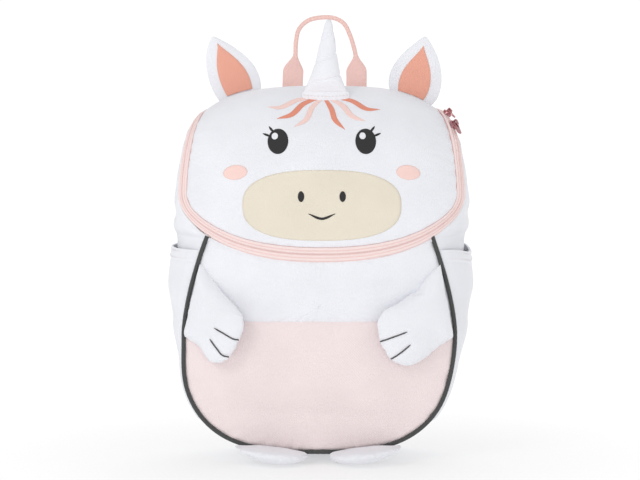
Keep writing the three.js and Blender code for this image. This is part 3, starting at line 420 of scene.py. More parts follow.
def head(x, h):
    """Head surface over (x, h): the profile, set in along its normal by the roll of the sides."""
    (y0, z0), (y1, z1) = profile(h - SLOPE_STEP), profile(h + SLOPE_STEP)
    length = np.hypot(y1 - y0, z1 - z0)
    y, z = profile(h)
    roll = side_roll(x) / length
    return np.stack(np.broadcast_arrays(x, y + (z1 - z0) * roll, z - (y1 - y0) * roll), -1)


print("length of the head's profile in mm:", round(float(REAR_H), 1))

# %% Edge of the flap
FLAP_HALF, CHIN_DROP, CHIN_H, CHIN_POWER = 112.0, 50.0, 66.0, 2.2
SIDE_SHARE, WIDENING, REAR_TAPER, TAPER_POWER = 0.55, 0.62, 20.0, 1.63  # the share and the course of the sides
ZIP_STOP, TO_BACK = 3.0, 6.0  # the zip stops short of the rear, and the cloth goes on from there
SIDE_H = REAR_H - ZIP_STOP - CHIN_H  # length of the zip's side run in the CAD model
REACH = 1 + TO_BACK / SIDE_H  # end of the cloth, where it meets the back panel


def flap_edge(grow, t):
    """Edge of the flap in (x, h), grown outwards by a distance. t is 0 and 1 at the rear, 0.5 at the chin.

    The sides narrow by a power of the way up, and the chin is half a superellipse.
    """
    half = 1 - np.abs(2 * t - 1)
    widest = FLAP_HALF + WIDENING * grow
    up = np.clip(1 - half / SIDE_SHARE, 0, 1) * REACH
    angle = np.clip((half - SIDE_SHARE) / (1 - SIDE_SHARE), 0, 1) * np.pi / 2
    power = 2 / CHIN_POWER
    on_side = half < SIDE_SHARE
    x = np.where(on_side, widest - REAR_TAPER * up**TAPER_POWER, widest * np.cos(angle).clip(0) ** power)
    down = CHIN_H - (CHIN_DROP + grow) * np.sin(angle) ** power
    h = np.where(on_side, CHIN_H + SIDE_H * up, down)
    return np.where(t < 0.5, x, -x), h


def head_edge(grow, t):
    """The flap's grown edge as a point of the head."""
    return head(*flap_edge(grow, t))


print("half width of the flap at its rear in mm:", round(float(flap_edge(0.0, np.array(0.0))[0]), 1))

# %% Belly surface
BODY_EDGE = ZIP_WIDTH + 2 * SEAM
EGG_HALF, EGG_WIDE_Z, EGG_BOTTOM_Z, EGG_POWER, EGG_TAPER = 112.0, 108.0, 9.0, 2.85, 19.0
EGG_RISE_POWER, BELLY_SWELL, BELLY_POWER = 1.55, 14.0, 2.4
COLOUR_SEAM_Z, SEAM_Y, SEAM_POWER, EDGE_POWER = 119.0, -47.0, 0.6, 6
SWAY = ((-2.0, 212.0, 32.0), (-2.2, 105.0, 45.0))  # lean to one side, the height where it starts, and its reach
zip_steps = np.linspace(0.5, SIDE_SHARE / 2, 4001)
PIPING_TOP_T = np.interp(EGG_HALF - EGG_TAPER, head_edge(BODY_EDGE, zip_steps)[:, 0], zip_steps)
PIPING_TOP = head_edge(BODY_EDGE, np.array(PIPING_TOP_T))
PIPING_TOP_Z = PIPING_TOP[2]


def egg_bottom(z, half, bottom):
    """Half width of an egg below its widest height: a superellipse."""
    share = np.clip((EGG_WIDE_Z - z) / (EGG_WIDE_Z - bottom), 0, 1)
    return half * (1 - share**EGG_POWER) ** (1 / EGG_POWER)


def piping_half_width(z):
    """Half width of the piped seam at a height: an egg's bottom, narrowed above by a power of the rise."""
    rise = np.clip((z - EGG_WIDE_Z) / (PIPING_TOP_Z - EGG_WIDE_Z), 0, None)
    tapered = EGG_HALF - EGG_TAPER * rise**EGG_RISE_POWER
    return np.where(z <= EGG_WIDE_Z, egg_bottom(z, EGG_HALF, EGG_BOTTOM_Z), tapered)


def sway(z):
    """How far the soft front leans to the left at a height: S curves that add up towards the base."""
    return sum(lean * smooth((start - z) / reach) for lean, start, reach in SWAY)


def seam_y(z):
    """Depth of the piped seam at a height: from the base to the zip, by a power of the height."""
    return mix(SEAM_Y, PIPING_TOP[1], np.clip(z / PIPING_TOP_Z, 0, 1) ** SEAM_POWER)


def belly(x, z):
    """Front of the belly: it swells from the piped seam to the middle, and follows the zip at the top.

    The swell is 1 - rho^2.4, where rho is 0 in the middle and 1 at the seam.
    """
    drop = np.clip(EGG_WIDE_Z - z, 0, None) / (EGG_WIDE_Z - EGG_BOTTOM_Z)
    across = np.abs(x) / np.where(z > EGG_WIDE_Z, piping_half_width(z), EGG_HALF)
    rho = np.minimum((across**EGG_POWER + drop**EGG_POWER) ** (1 / EGG_POWER), 1.05)
    swollen = seam_y(z) - BELLY_SWELL * (1 - rho**BELLY_POWER)
    to_seam = seam_y(z) - HEAD_FRONT_Y - side_roll(piping_half_width(z))
    at_zip = HEAD_FRONT_Y + side_roll(x) + to_seam * np.minimum(across, 1) ** EDGE_POWER
    y = mix(swollen, at_zip, smooth((z - COLOUR_SEAM_Z) / (HANG_Z + 4 - COLOUR_SEAM_Z)))
    return np.stack(np.broadcast_arrays(x + sway(z), y, z), -1)


print("top of the piping in mm:", np.round(PIPING_TOP, 1).tolist())

# %% Gusset surface
BACK_Y, BACK_HALF, BACK_BOTTOM_Z = 50.0, 113.0, 9.0
BACK_TAPER, BACK_TAPER_Z, BACK_TAPER_RISE, BACK_TAPER_POWER = 12, 230, 54, 2.2
GUSSET_SWELL = np.array([
    (10, 2), (30, 1.5), (63, 1.5), (115, 3), (150, 6), (179, 14.5), (190, 16.8), (210, 9), (230, 5.6), (262, 2.5),
    (300, 0),
])  # height and swell
GUSSET_POWER, FULL_WIDTH = 2.6, 90  # a strip narrower than its full width swells less
UNDER_PIPING, UNDER_TAPE = 0.8, -1.6  # where the gusset's front edge is tucked, in mm from the seam
BASE_DROP = 9.5  # how far the base sags to the floor


def from_table(table, z):
    """A value from a table by height, with an S curve between its rows."""
    heights, values = table.T
    i = np.clip(np.searchsorted(heights, z, side="right") - 1, 0, len(heights) - 2)
    return mix(values[i], values[i + 1], smooth((z - heights[i]) / (heights[i + 1] - heights[i])))


def back_half_width(z):
    """Half width of the back panel at a height: an egg's bottom, narrowed above by a power of the rise."""
    rise = np.clip(z - BACK_TAPER_Z, 0, None) / BACK_TAPER_RISE
    tapered = BACK_HALF - BACK_TAPER * rise**BACK_TAPER_POWER
    return np.where(z < EGG_WIDE_Z, egg_bottom(z, BACK_HALF, BACK_BOTTOM_Z), tapered)


def station(t):
    """Front point, back point and outward direction of the gusset.

    t is 0 at the zip's end, 1 at the piping's top, 2 at the widest height and 3 under the base.
    """
    on_zip = head_edge(BODY_EDGE, PIPING_TOP_T * np.clip(t, 0, 1))
    z = mix(PIPING_TOP_Z, EGG_WIDE_Z, np.clip(t - 1, 0, 1))
    on_side = np.stack([piping_half_width(z), seam_y(z), z], -1)
    angle = np.clip(t - 2, 0, 1) * np.pi / 2
    cos, sin = np.cos(angle).clip(0) ** (2 / EGG_POWER), np.sin(angle) ** (2 / EGG_POWER)
    base_z = mix(EGG_WIDE_Z, EGG_BOTTOM_Z, sin)
    on_base = np.stack([EGG_HALF * cos, seam_y(base_z), base_z], -1)
    t = t[..., None]
    front = np.where(t <= 1, on_zip, np.where(t <= 2, on_side, on_base))
    level = np.full_like(angle, BACK_Y)
    beside = np.stack([back_half_width(front[..., 2]), level, front[..., 2]], -1)
    below = np.stack([BACK_HALF * cos, level, mix(EGG_WIDE_Z, BACK_BOTTOM_Z, sin)], -1)
    outward = np.stack([np.cos(angle), 0 * angle, -np.sin(angle)], -1)
    return front, np.where(t <= 2, beside, below), outward


def gusset(T, s, stand_off=None):
    """Gusset: T runs from -3 at the left end of the zip by 0 under the base to 3, s from front to back.

    A straight line from the front seam to the back seam, swollen outwards. The base sags to the rear, where the
    floor holds it flat.
    """
    front, back, outward = station(3 - np.abs(T))
    free = np.linalg.norm(back - front, axis=-1)
    start = mix(UNDER_PIPING, UNDER_TAPE, smooth((np.abs(T) - 1.9) / 0.08)) / free
    share = mix(start, 1 - SEAM / free, s)
    swell = from_table(GUSSET_SWELL, front[..., 2]) * (1 - np.abs(2 * share - 1) ** GUSSET_POWER)
    swell = swell * np.minimum(free / FULL_WIDTH, 1)
    sag = 0.2 * smooth(share / 0.06) + 0.8 * np.clip(share / 0.8, 0, 1) ** 1.3
    sag = sag * (1 - smooth((share - 0.85) / 0.15)) * np.maximum(-outward[..., 2], 0) ** 4
    points = front + (back - front) * share[..., None] + outward * (swell + BASE_DROP * sag)[..., None]
    if stand_off is not None:
        points = points + outward * stand_off(points[..., 2], s)[..., None]
    points[..., 2] = np.maximum(points[..., 2], 0)
    points[..., 0] = points[..., 0] * np.where(T < 0, -1, 1) + sway(front[..., 2]) * (1 - share)
    return points


print("gusset under the middle in mm:", np.round(gusset(np.array(0.0), np.array(0.5)), 1).tolist())

# %% Pocket and back surfaces
POCKET_SWELL = np.array([(30, 0), (80, 1), (115, 5.5), (150, 10.5), (180, 1.3)])  # height and swell
POCKET_MOUTH_Z, POCKET_END_Z, POCKET_GAP, POCKET_POWER = 177.0, 30.0, 1.0, 2.4
POCKET_HANG = 0.5, 4.5  # how far the left and the right mouth hang in the middle
BACK_CROWN, BACK_MIDDLE_Z, BACK_RISE = 3, 160, 150


def pocket_off(z, s):
    """How far the pocket stands off the gusset: most towards its mouth, and not where it is sewn down."""
    sewn = smooth(np.minimum(s, 1 - s) * 100 / 7) * smooth((z - POCKET_END_Z) / 9)
    return 0.4 + (CLOTH + POCKET_GAP) * sewn + from_table(POCKET_SWELL, z) * (1 - np.abs(2 * s - 1) ** POCKET_POWER)


def pocket(T, s):
    """A pocket over the gusset's (T, s). Its mouth hangs lower in the middle than at its sewn ends."""
    hang = np.where(T < 0, *POCKET_HANG) * np.sin(np.pi * s) ** 2 * smooth((np.abs(T) - 1.3) / 0.5)
    return gusset(T - np.sign(T) * hang / (PIPING_TOP_Z - EGG_WIDE_Z), s, pocket_off)


def back(x, z):
    """Back of the bag: a low crown over the padded panel, the product of two parabolas."""
    rho = np.minimum(np.abs(x) / BACK_HALF, 1)
    rise = np.minimum(np.abs(z - BACK_MIDDLE_Z) / BACK_RISE, 1)
    y = BACK_Y + BACK_CROWN * (1 - rho**2) * (1 - rise**2)
    return np.stack(np.broadcast_arrays(-x, y, z), -1)


print("mouth of the pockets and middle of the back in mm:", POCKET_MOUTH_Z, BACK_MIDDLE_Z)

# %% [markdown]
# ## Head flap
# One panel of canvas covers the front and the top of the head. Its edge is folded under and sewn to the zip,
# so it dips there and puckers a little between the stitches. The panel is a set of rings that shrink from
# that edge to the middle, because then the rings follow the seam and the puckers stay crisp.

# %% Head flap
LAP, REAR_LAP = 0.5, 1.5  # how far the flap's folded edge lies over the zip's tape and over the back panel
edge_t = np.linspace(0, 1, 400)
flap_side = np.stack(flap_edge(LAP, edge_t), -1)
flap_side[[0, -1], 1] += REAR_LAP
flap_rear = np.linspace(flap_side[-1], flap_side[0], 60)[1:]
FLAP_OUTLINE = resampled(np.concatenate([flap_side, flap_rear]), 520)


def flap_relief(x, h):
    """Height of the flap's cloth over the head surface: soft waves, a dip and puckers along the seam."""
    inside = distance_to(x, h, FLAP_OUTLINE)
    around = np.arctan2(h - 100, x)
    pucker = waves(around * 110, inside * 0.35, 13, 3) * 0.55 * np.exp(-inside / 9)
    dip = -0.6 * np.exp(-((inside / 1.8) ** 2))
    return dip + pucker + 0.7 * waves(x, h, 85, 5) * (1 - np.exp(-inside / 25))


def flap_surface(x, h, lift):
    """The flap's cloth, or a layer lifted off it."""
    return raised(head, x, h, flap_relief(x, h) + lift)


x, h, _ = shrunk(FLAP_OUTLINE, np.array([0.0, 108.0]), 60)
piece("face_flap_cloth", [(flap_surface(x, h, 0), np.stack([x, h], -1))], white, "face_flap", CLOTH, "stretched")

# %% [markdown]
# ## Printed face
# The face is printed on the canvas. Each colour is a thin film on the flap, so it follows every wave of the
# cloth. It is a plain animal face: round-cornered eyes, a pale muzzle, a short smile and a forelock.

# %% Print tools
FILM = 0.22  # lift of the print over the cloth, so that it shows as a layer of its own


def oval(name, centre, halves, material, lift=FILM, power=2.0, turn=0.0, steps=120):
    """A printed oval: a superellipse in the cloth's flat coordinates, shrunk to its middle."""
    angle = np.linspace(0, 2 * np.pi, steps + 1)
    round_off = lambda v: np.sign(v) * np.abs(v) ** (2 / power)
    a, b = halves[0] * round_off(np.cos(angle)), halves[1] * round_off(np.sin(angle))
    ring = np.stack([a * np.cos(turn) - b * np.sin(turn), a * np.sin(turn) + b * np.cos(turn)], -1)
    x, h, _ = shrunk(ring + centre, np.array(centre), max(6, int(max(halves) / 2.5)), 1.0)
    return piece(name, [(flap_surface(x, h, lift), np.stack([x, h], -1))], material, wall=FILM * 0.7)


def stroke(name, points, width, material, lift=FILM, taper=(0.25, 0.25), steps=60):
    """A printed line: a ribbon along a smooth path, narrowed at its ends by two shares of its width."""
    path = resampled(bent(points, 200), steps)
    tangent = unit(np.gradient(path, axis=0))
    side = np.stack([-tangent[:, 1], tangent[:, 0]], -1)
    s = np.linspace(0, 1, steps)
    full = np.sqrt(np.clip(1 - (1 - smooth(s / 0.5)) ** 2 * (1 - taper[0] ** 2), 0, 1))
    full *= np.sqrt(np.clip(1 - (1 - smooth((1 - s) / 0.5)) ** 2 * (1 - taper[1] ** 2), 0, 1))
    across = np.linspace(-0.5, 0.5, 7) * width
    flat = path[:, None] + side[:, None] * (across * full[:, None])[..., None]
    x, h = flat[..., 0], flat[..., 1]
    return piece(name, [(flap_surface(x, h, lift), flat)], material, wall=FILM * 0.7)


def bent(points, count):
    """A smooth path through points: centripetal Catmull-Rom, evaluated as whole arrays."""
    p = np.asarray(points, float)
    p = np.concatenate([[2 * p[0] - p[1]], p, [2 * p[-1] - p[-2]]])
    knot = np.r_[0, np.cumsum(np.linalg.norm(np.diff(p, axis=0), axis=-1) ** 0.5)]
    t = np.linspace(knot[1], knot[-2], count)
    i = np.clip(np.searchsorted(knot, t, side="right") - 1, 1, len(p) - 3)
    go = lambda a, b, ta, tb: a + (b - a) * ((t - ta) / (tb - ta))[:, None]
    k = [knot[i + d] for d in (-1, 0, 1, 2)]
    a1, a2, a3 = (go(p[i + d - 1], p[i + d], k[d], k[d + 1]) for d in (0, 1, 2))
    return go(go(a1, a2, k[0], k[2]), go(a2, a3, k[1], k[3]), k[1], k[2])


def at_height(z):
    """Length along the head's profile at which its front reaches a height."""
    rising = PROFILE_RUN < PROFILE_RUN[np.argmax(PROFILE_Z)]
    return float(np.interp(z, PROFILE_Z[rising], PROFILE_RUN[rising]))


# %% Printed face
oval("print_muzzle", (0, at_height(215)), (65, 29), sand_print, power=2.6)
for side, name in ((-1, "left"), (1, "right")):
    eye = (side * 36, at_height(267))
    oval(f"print_eye_{name}", eye, (8.5, 11.5), charcoal_print)
    oval(f"print_glint_{name}", (eye[0] - 2.6, eye[1] + 4.6), (2.6, 3.1), white, lift=2 * FILM, steps=48)
    oval(f"print_cheek_{name}", (side * 71, at_height(243)), (10, 6.5), blush_print)
    oval(f"print_nostril_{name}", (side * 17, at_height(222)), (2.6, 4.4), charcoal_print, lift=2 * FILM, steps=48)
    for i, angle in enumerate(np.radians((28, 58))):
        root = np.array([eye[0] + side * 7.6 * np.cos(angle), eye[1] + 10.2 * np.sin(angle)])
        tip = root + 6.5 * np.array([side * np.cos(angle), np.sin(angle)])
        stroke(f"print_lash_{name}_{i}", [root - 0.25 * (tip - root), root, tip], 1.9, charcoal_print, steps=16)
LOCKS = [
    (blush_print, 5.0, [(-4, 303), (-20, 300), (-34, 294), (-45, 295)]),
    (coral_print, 5.0, [(-3, 302), (-15, 297), (-25, 288), (-37, 285)]),
    (blush_print, 4.5, [(-1, 301), (-8, 294), (-13, 284), (-23, 278)]),
    (coral_print, 4.5, [(3, 301), (8, 293), (11, 284), (19, 276)]),
    (blush_print, 5.0, [(6, 302), (17, 296), (25, 287), (36, 283)]),
    (coral_print, 5.0, [(8, 303), (24, 300), (37, 293), (48, 293)]),
]  # colour, width and the course of each lock, as x and height
for i, (colour, width, course) in enumerate(LOCKS):
    stroke(f"print_forelock_{i}", [(x, at_height(z)) for x, z in course], width, colour, taper=(0.7, 0.05))
smile = [(-11, at_height(208)), (0, at_height(204)), (11, at_height(208))]
stroke("print_smile", smile, 2.0, charcoal_print, lift=2 * FILM)

# %% [markdown]
# ## Zip
# The zip runs round the flap: two tapes, a coil between them, and two sliders. Each tape is a strip along the
# flap's edge, with soft ribs along it. The coil is a row of nylon loops, so its strip rises and falls with a
# 1.3 mm pitch, and the two halves are a half step apart.

# %% Zip
COIL_WIDTH, COIL_HEIGHT, COIL_PITCH = 1.8, 0.9, 1.3
SLIDER_RUN, SLIDER_RISE = (10.0, 30.0, 68.0, 100.0), 1.5  # where the zip rises under its sliders, and how far
zip_t = np.linspace(0, 1, 700)
zip_run = length_along(head_edge(ZIP_WIDTH / 2, zip_t))


def zip_strip(start, end, columns, height, steps):
    """A strip along the zip between two distances across it, raised by a height over (run, across)."""
    run = np.linspace(0, zip_run[-1], steps)
    t = np.interp(run, zip_run, zip_t)[:, None]
    grow = np.linspace(start, end, columns)[None]
    points = head_edge(*np.broadcast_arrays(grow, t))
    normal = unit(np.cross(np.gradient(points, axis=0), np.gradient(points, axis=1)))
    run, grow = np.broadcast_arrays(run[:, None], grow)
    return points + normal * height(run, grow)[..., None], np.stack([grow, run], -1)


def under_sliders(run, grow):
    """How far the zip rises to its sliders, on the right side near the rear: most at the coil."""
    start, full, fade, end = SLIDER_RUN
    along = smooth((run - start) / (full - start)) * smooth((end - run) / (end - fade))
    return SLIDER_RISE * along * (1 - np.abs(2 * grow / ZIP_WIDTH - 1) ** 3)


def tape_relief(run, grow):
    """Soft ribs: a narrow valley at each line of the tape, counted from the coil, and both edges turned down."""
    off_line = (grow - ZIP_WIDTH / 2 + RIB / 2) % RIB - RIB / 2
    ribs = 0.45 - 0.55 * np.exp(-((off_line / 0.5) ** 2)) + 0.1 * waves(run, grow, 16, 11)
    ribs = ribs + under_sliders(run, grow)
    return ribs - 1.7 * np.exp(-((grow / 0.7) ** 2)) - 0.6 * np.exp(-(((ZIP_WIDTH - grow) / 0.6) ** 2))


def coil_relief(run, grow):
    """Loops of the coil: two rows of round ridges, half a pitch apart, with a valley between them."""
    across = (grow - ZIP_WIDTH / 2) / (COIL_WIDTH / 2)
    tooth = 0.5 + 0.5 * np.cos(2 * np.pi * run / COIL_PITCH + np.where(across < 0, 0, np.pi))
    dome = np.sqrt(np.clip(1 - np.abs(2 * np.abs(across) - 1) ** 2.5, 0, 1))
    return COIL_HEIGHT * (0.2 + 0.8 * dome * (0.5 + 0.5 * tooth)) + under_sliders(run, grow)


TAPE, SPLIT = 1.2, 0.4  # thickness of a tape, and the gap between the two
for name, start, end in (("upper", 0.0, (ZIP_WIDTH - SPLIT) / 2), ("lower", (ZIP_WIDTH + SPLIT) / 2, ZIP_WIDTH)):
    strip = zip_strip(start, end, 25, tape_relief, 620)
    piece(f"zip_tape_{name}_cloth", [strip], zip_tape, f"zip_tape_{name}", TAPE)
strip = zip_strip((ZIP_WIDTH - COIL_WIDTH) / 2, (ZIP_WIDTH + COIL_WIDTH) / 2, 13, coil_relief, 2600)
piece("zip_coil_loops", [strip], zip_nylon, "zip_coil", 0.5)
print("zip length in mm:", round(float(zip_run[-1])))

# %% [markdown]
# The sliders and pulls keep their CAD solids, whose shape is right. A Weld modifier joins their loose
# triangles and a Bevel rounds the edges as a die-cast part's are, so that they catch the light.


# %% Sliders and pulls
def finished(node, material, bevel):
    """Gives a CAD node a material and rounded edges, in mm, without a change to its mesh."""
    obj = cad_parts[node]
    obj.data.materials.clear()
    obj.data.materials.append(material)
    weld = obj.modifiers.new("weld", "WELD")
    weld.merge_threshold = 0.01 * MM
    rounding = obj.modifiers.new("rounding", "BEVEL")
    rounding.width, rounding.segments, rounding.limit_method = bevel * MM, 3, "ANGLE"
    rounding.angle_limit = np.radians(30)
    print("finished:", obj.name)


for name in ("upper", "lower"):
    finished(f"zip_slider_{name}", rose_metal, 0.3)
    finished(f"zip_pull_{name}", rose_metal, 0.25)

# %% [markdown]
# ## Belly
# The front panel is cut in two: white above, pink below. Both edges turn in at the colour seam and at the
# piping. Stuffed cloth also shows a few broad folds, which come from a short table.

# %% Belly
TUCK = 0.5  # how far inside the piped seam a panel's cloth starts to show
COLOUR_T = 1 + (PIPING_TOP_Z - COLOUR_SEAM_Z) / (PIPING_TOP_Z - EGG_WIDE_Z)


def piping_edge(start, end, steps):
    """Steps down the right side of the piped seam, tucked under the piping, as (x, z)."""
    front, _, outward = station(np.linspace(start, end, steps))
    return (front - TUCK * outward)[:, [0, 2]]


def mirrored(points):
    """The same run on the other side of the bag, in the opposite order."""
    return (points * [-1, 1])[::-1]


def belly_panel(name, outline, middle, material, node, table, seed):
    """A cut of the belly: rings of its outline, with a dip and puckers at the seam, waves and folds."""
    outline = resampled(np.concatenate([outline, outline[:1]]), 480)
    x, z, _ = shrunk(outline, np.array(middle), 56)
    inside = distance_to(x, z, outline)
    around = np.arctan2(z - middle[1], x) * 100
    relief = -1.2 * np.exp(-((inside / 2.2) ** 2)) + folds(x, z, table)
    relief += 0.45 * waves(around, inside * 0.4, 11, seed) * np.exp(-inside / 8)
    relief += 0.8 * waves(x, z, 70, seed + 1) * (1 - np.exp(-inside / 20))
    points = raised(belly, x, z, relief)
    return piece(name, [(points, np.stack([x, z], -1))], material, node, CLOTH, "stretched")


LOWER_FOLDS = [
    (-70, 44, 78, 38, 1.2, 7), (-40, 70, 30, 76, 0.6, 9), (-95, 92, -60, 80, 0.9, 6), (60, 84, 96, 96, 0.9, 6),
]
UPPER_FOLDS = [(-60, 148, -20, 140, 0.7, 6), (20, 142, 66, 150, 0.7, 6)]
right = piping_edge(COLOUR_T, 3, 200)
belly_panel("belly_lower_cloth", np.concatenate([right, mirrored(right)[1:]]), (0.0, 72.0), pink, "belly_lower",
            LOWER_FOLDS, 21)
right = piping_edge(COLOUR_T, 1.01, 80)
start_t = PIPING_TOP_T + 0.004
along_zip = head_edge(ZIP_WIDTH - 0.8, np.linspace(start_t, 1 - start_t, 240))[:, [0, 2]]
belly_panel("belly_upper_cloth", np.concatenate([right, along_zip, mirrored(right)]), (0.0, 132.0), white,
            "belly_upper", UPPER_FOLDS, 31)

# %% [markdown]
# ## Piping
# A cord wrapped in dark cloth is sewn into the front seam. It is a round section carried along the seam, and
# it wavers slightly, as a hand-guided cord does.


# %% Piping
def swept(centres, across, through, half_across, half_through, corners=20, power=2.0):
    """A closed tube: at each centre a superellipse spanned by two directions, with both ends shut.

    Its flat coordinates are the way round the section and the way along the path.
    """
    angle = np.linspace(0, 2 * np.pi, corners + 1)
    cos, sin = (np.sign(v) * np.abs(v) ** (2 / power) for v in (np.cos(angle), np.sin(angle)))
    cos[-1], sin[-1] = cos[0], sin[0]
    wide = np.broadcast_to(half_across, len(centres))[:, None, None] * cos[:, None]
    deep = np.broadcast_to(half_through, len(centres))[:, None, None] * sin[:, None]
    rings = centres[:, None] + across[:, None] * wide + through[:, None] * deep
    shut = lambda i: np.broadcast_to(centres[i], (1, corners + 1, 3))
    run = length_along(centres)
    run = np.r_[run[0], run, run[-1]]
    girth = np.pi * (np.max(half_across) + np.max(half_through)) * angle / (2 * np.pi)
    flat = np.stack(np.broadcast_arrays(girth[None], run[:, None]), -1)
    return np.concatenate([shut(0), rings, shut(-1)]), flat


def seam_path(T):
    """The piped seam: T from the left end to the right end, under the base at 0."""
    front, _, _ = station(3 - np.abs(T))
    return np.stack([front[:, 0] * np.where(T < 0, -1, 1) + sway(front[:, 2]), front[:, 1], front[:, 2]], -1)


PIPING_RADIUS, PIPING_END, PIPING_TAIL = 1.85, 1.985, 2.5  # the tails go under the zip
PIPING_STEPS = 520  # about one for each millimetre
path = seam_path(np.linspace(-PIPING_END, PIPING_END, 1200))
ends = [path[i] + PIPING_TAIL * unit(path[i] - path[j]) for i, j in ((0, 8), (-1, -9))]
path = resampled(np.concatenate([ends[:1], path, ends[1:]]), PIPING_STEPS)
tangent = unit(np.gradient(path, axis=0))
side = unit(np.cross(tangent, [0, -1, 0]))
run = np.linspace(0, PIPING_STEPS, PIPING_STEPS)
path = path + side * (0.12 * waves(run, run * 0, 60, 41))[:, None]
radius = PIPING_RADIUS * (0.99 + 0.01 * waves(run, run * 0, 20, 42))
piece("piping_cord", [swept(path, side, np.cross(side, tangent), radius, radius)], piping_cord, "piping")
print("piping length in mm:", round(float(length_along(path)[-1])))

# %% [markdown]
# ## Gusset and pockets
# One strip of canvas makes both sides and the base. Each side has an open pocket: a second layer that stands
# off towards its mouth, where a turned hem with two rows of stitches stiffens it. Strips are grids along
# and across, with short creases that run in from the seams.


# %% Gusset
def strip_piece(name, T, s, surface, relief, material, node):
    """A strip of cloth over (T, s), raised along its normal. Its flat sizes are measured along its middle."""
    points = surface(*np.broadcast_arrays(T[:, None], s[None]))
    normal = unit(np.cross(np.gradient(points, axis=0), np.gradient(points, axis=1)))
    normal *= np.sign((normal * (points - BAG_MIDDLE)).sum())
    run = length_along(points[:, len(s) // 2])
    across = length_along(points[len(T) // 2])[-1] * s
    run, across = np.broadcast_arrays(run[:, None], across[None])
    points = points + normal * relief(run, across, points)[..., None]
    points[..., 2] = np.maximum(points[..., 2], 0)
    return piece(name, [(points, np.stack([run, across], -1))], material, node, CLOTH, "stretched")


def gusset_relief(run, across, points):
    """Puckers that fade away from both seams, and soft waves, all gone where the floor holds the base."""
    edge = np.minimum(across, across.max() - across)
    lifted = smooth((points[..., 2] - 4) / 25)
    pucker = 0.6 * waves(run, edge * 0.3, 15, 51) * np.exp(-edge / 12)
    return (pucker - 0.9 * np.exp(-((edge / 2.5) ** 2)) + 0.5 * waves(run, across, 60, 52)) * lifted


GUSSET_END, ACROSS = 2.995, np.linspace(0, 1, 57)
T = np.linspace(-GUSSET_END, GUSSET_END, 560)
strip_piece("gusset_cloth", T, ACROSS, gusset, gusset_relief, white, "gusset")

# %% Pockets
POCKET_MOUTH_T = 2 - (PIPING_TOP_Z - POCKET_MOUTH_Z) / (PIPING_TOP_Z - EGG_WIDE_Z)
POCKET_END_T = 1 - 40 / 90  # it ends 40 of 90 degrees round the lower corner
HEM = 9.0  # height of the pocket's hem


def pocket_relief(run, across, points):
    """A hem that stands proud at the mouth, with a step below it, and puckers at the sewn edges."""
    edge_band = 0.5 * (1 - smooth((run - HEM) / 1.2)) - 0.3 * np.exp(-(((run - HEM - 0.8) / 0.9) ** 2))
    edge = np.minimum(across, across.max() - across)
    return edge_band + 0.4 * waves(run, edge * 0.3, 14, 61) * np.exp(-edge / 10) + 0.5 * waves(run, across, 45, 62)


for name, sign in (("left", -1), ("right", 1)):
    T = sign * np.linspace(POCKET_MOUTH_T, POCKET_END_T, 220)
    strip_piece(f"pocket_{name}_cloth", T, ACROSS, pocket, pocket_relief, white, f"pocket_{name}")

# %% [markdown]
# ## Back panel
# The panel against the child's back is padded with foam. It lies out of the photograph's sight, so it is
# finished plainly: a crowned pad with one sewn line inside its edge.

# %% Back panel
PAD, PAD_SEAM, PAD_INSET = 3.2, 14.0, 0.9  # its thickness, and how far its sewn line and its edge are set in
_, rear, outward = station(np.linspace(0.02, 3, 220))
side_run = (rear - PAD_INSET * outward)[:, [0, 2]]
top_x = np.linspace(-side_run[0, 0], side_run[0, 0], 80)[1:-1]
top_run = np.stack([top_x, REAR[1] - side_roll(top_x) - PAD_INSET], -1)
BACK_OUTLINE = resampled(np.concatenate([side_run, mirrored(side_run)[1:], top_run, side_run[:1]]), 480)
x, z, _ = shrunk(BACK_OUTLINE, np.array([0.0, BACK_MIDDLE_Z]), 50)
inside = distance_to(x, z, BACK_OUTLINE)
sewn = -1.3 * np.exp(-(((inside - PAD_SEAM) / 2.2) ** 2))
outer = raised(back, x, z, sewn - 1.2 * np.exp(-((inside / 2.5) ** 2)) + 0.5 * waves(x, z, 60, 71))
inner = raised(back, x, z, np.full(x.shape, -PAD))
pad = np.concatenate([outer, inner[::-1]])
flat = np.stack([np.concatenate([x, x[::-1]]), np.concatenate([z, z[::-1]])], -1)
piece("back_panel_pad", [(pad, flat)], white, "back_panel")
print("round the back panel in mm:", round(float(length_along(BACK_OUTLINE)[-1])))

# %% [markdown]
# ## Ears
# Each ear is a stuffed leaf of canvas that stands in the top seam, with a coral lining on its front. The leaf
# is two grids, a front and a back, that share their edge. The edge stays thin because two layers are sewn
# together there, and the stuffing swells between. Its foot goes a little way into the seam.

# %% Ears
EAR_Y, EAR_EDGE, EAR_THICK = 33.0, 2.0, 6.0
EAR_FOOT, EAR_TOP, LINING_FOOT, LINING_TOP = -0.03, 0.985, 0.02, 0.85
EARS = {
    "left": (-1, (51.8, (51, 336)), (86.6, (106, 331)), (92.8, 353.4)),
    "right": (1, (57.8, (52, 331)), (92.5, (113, 320)), (88.2, 353.5)),
}  # side, then for the inner and the outer edge its foot and the point that bows it, then the tip


def ear_foot(x):
    """Height of the head where an ear stands: on a line from crown to rear, less the roll of the sides."""
    return mix(CROWN[1], REAR[1], (EAR_Y - CROWN[0]) / (REAR[0] - CROWN[0])) + SEAM - side_roll(x)


def bezier(p, q, r, t):
    """Quadratic curve from p to r, drawn towards q."""
    return mix(mix(p, q, t), mix(q, r, t), t)


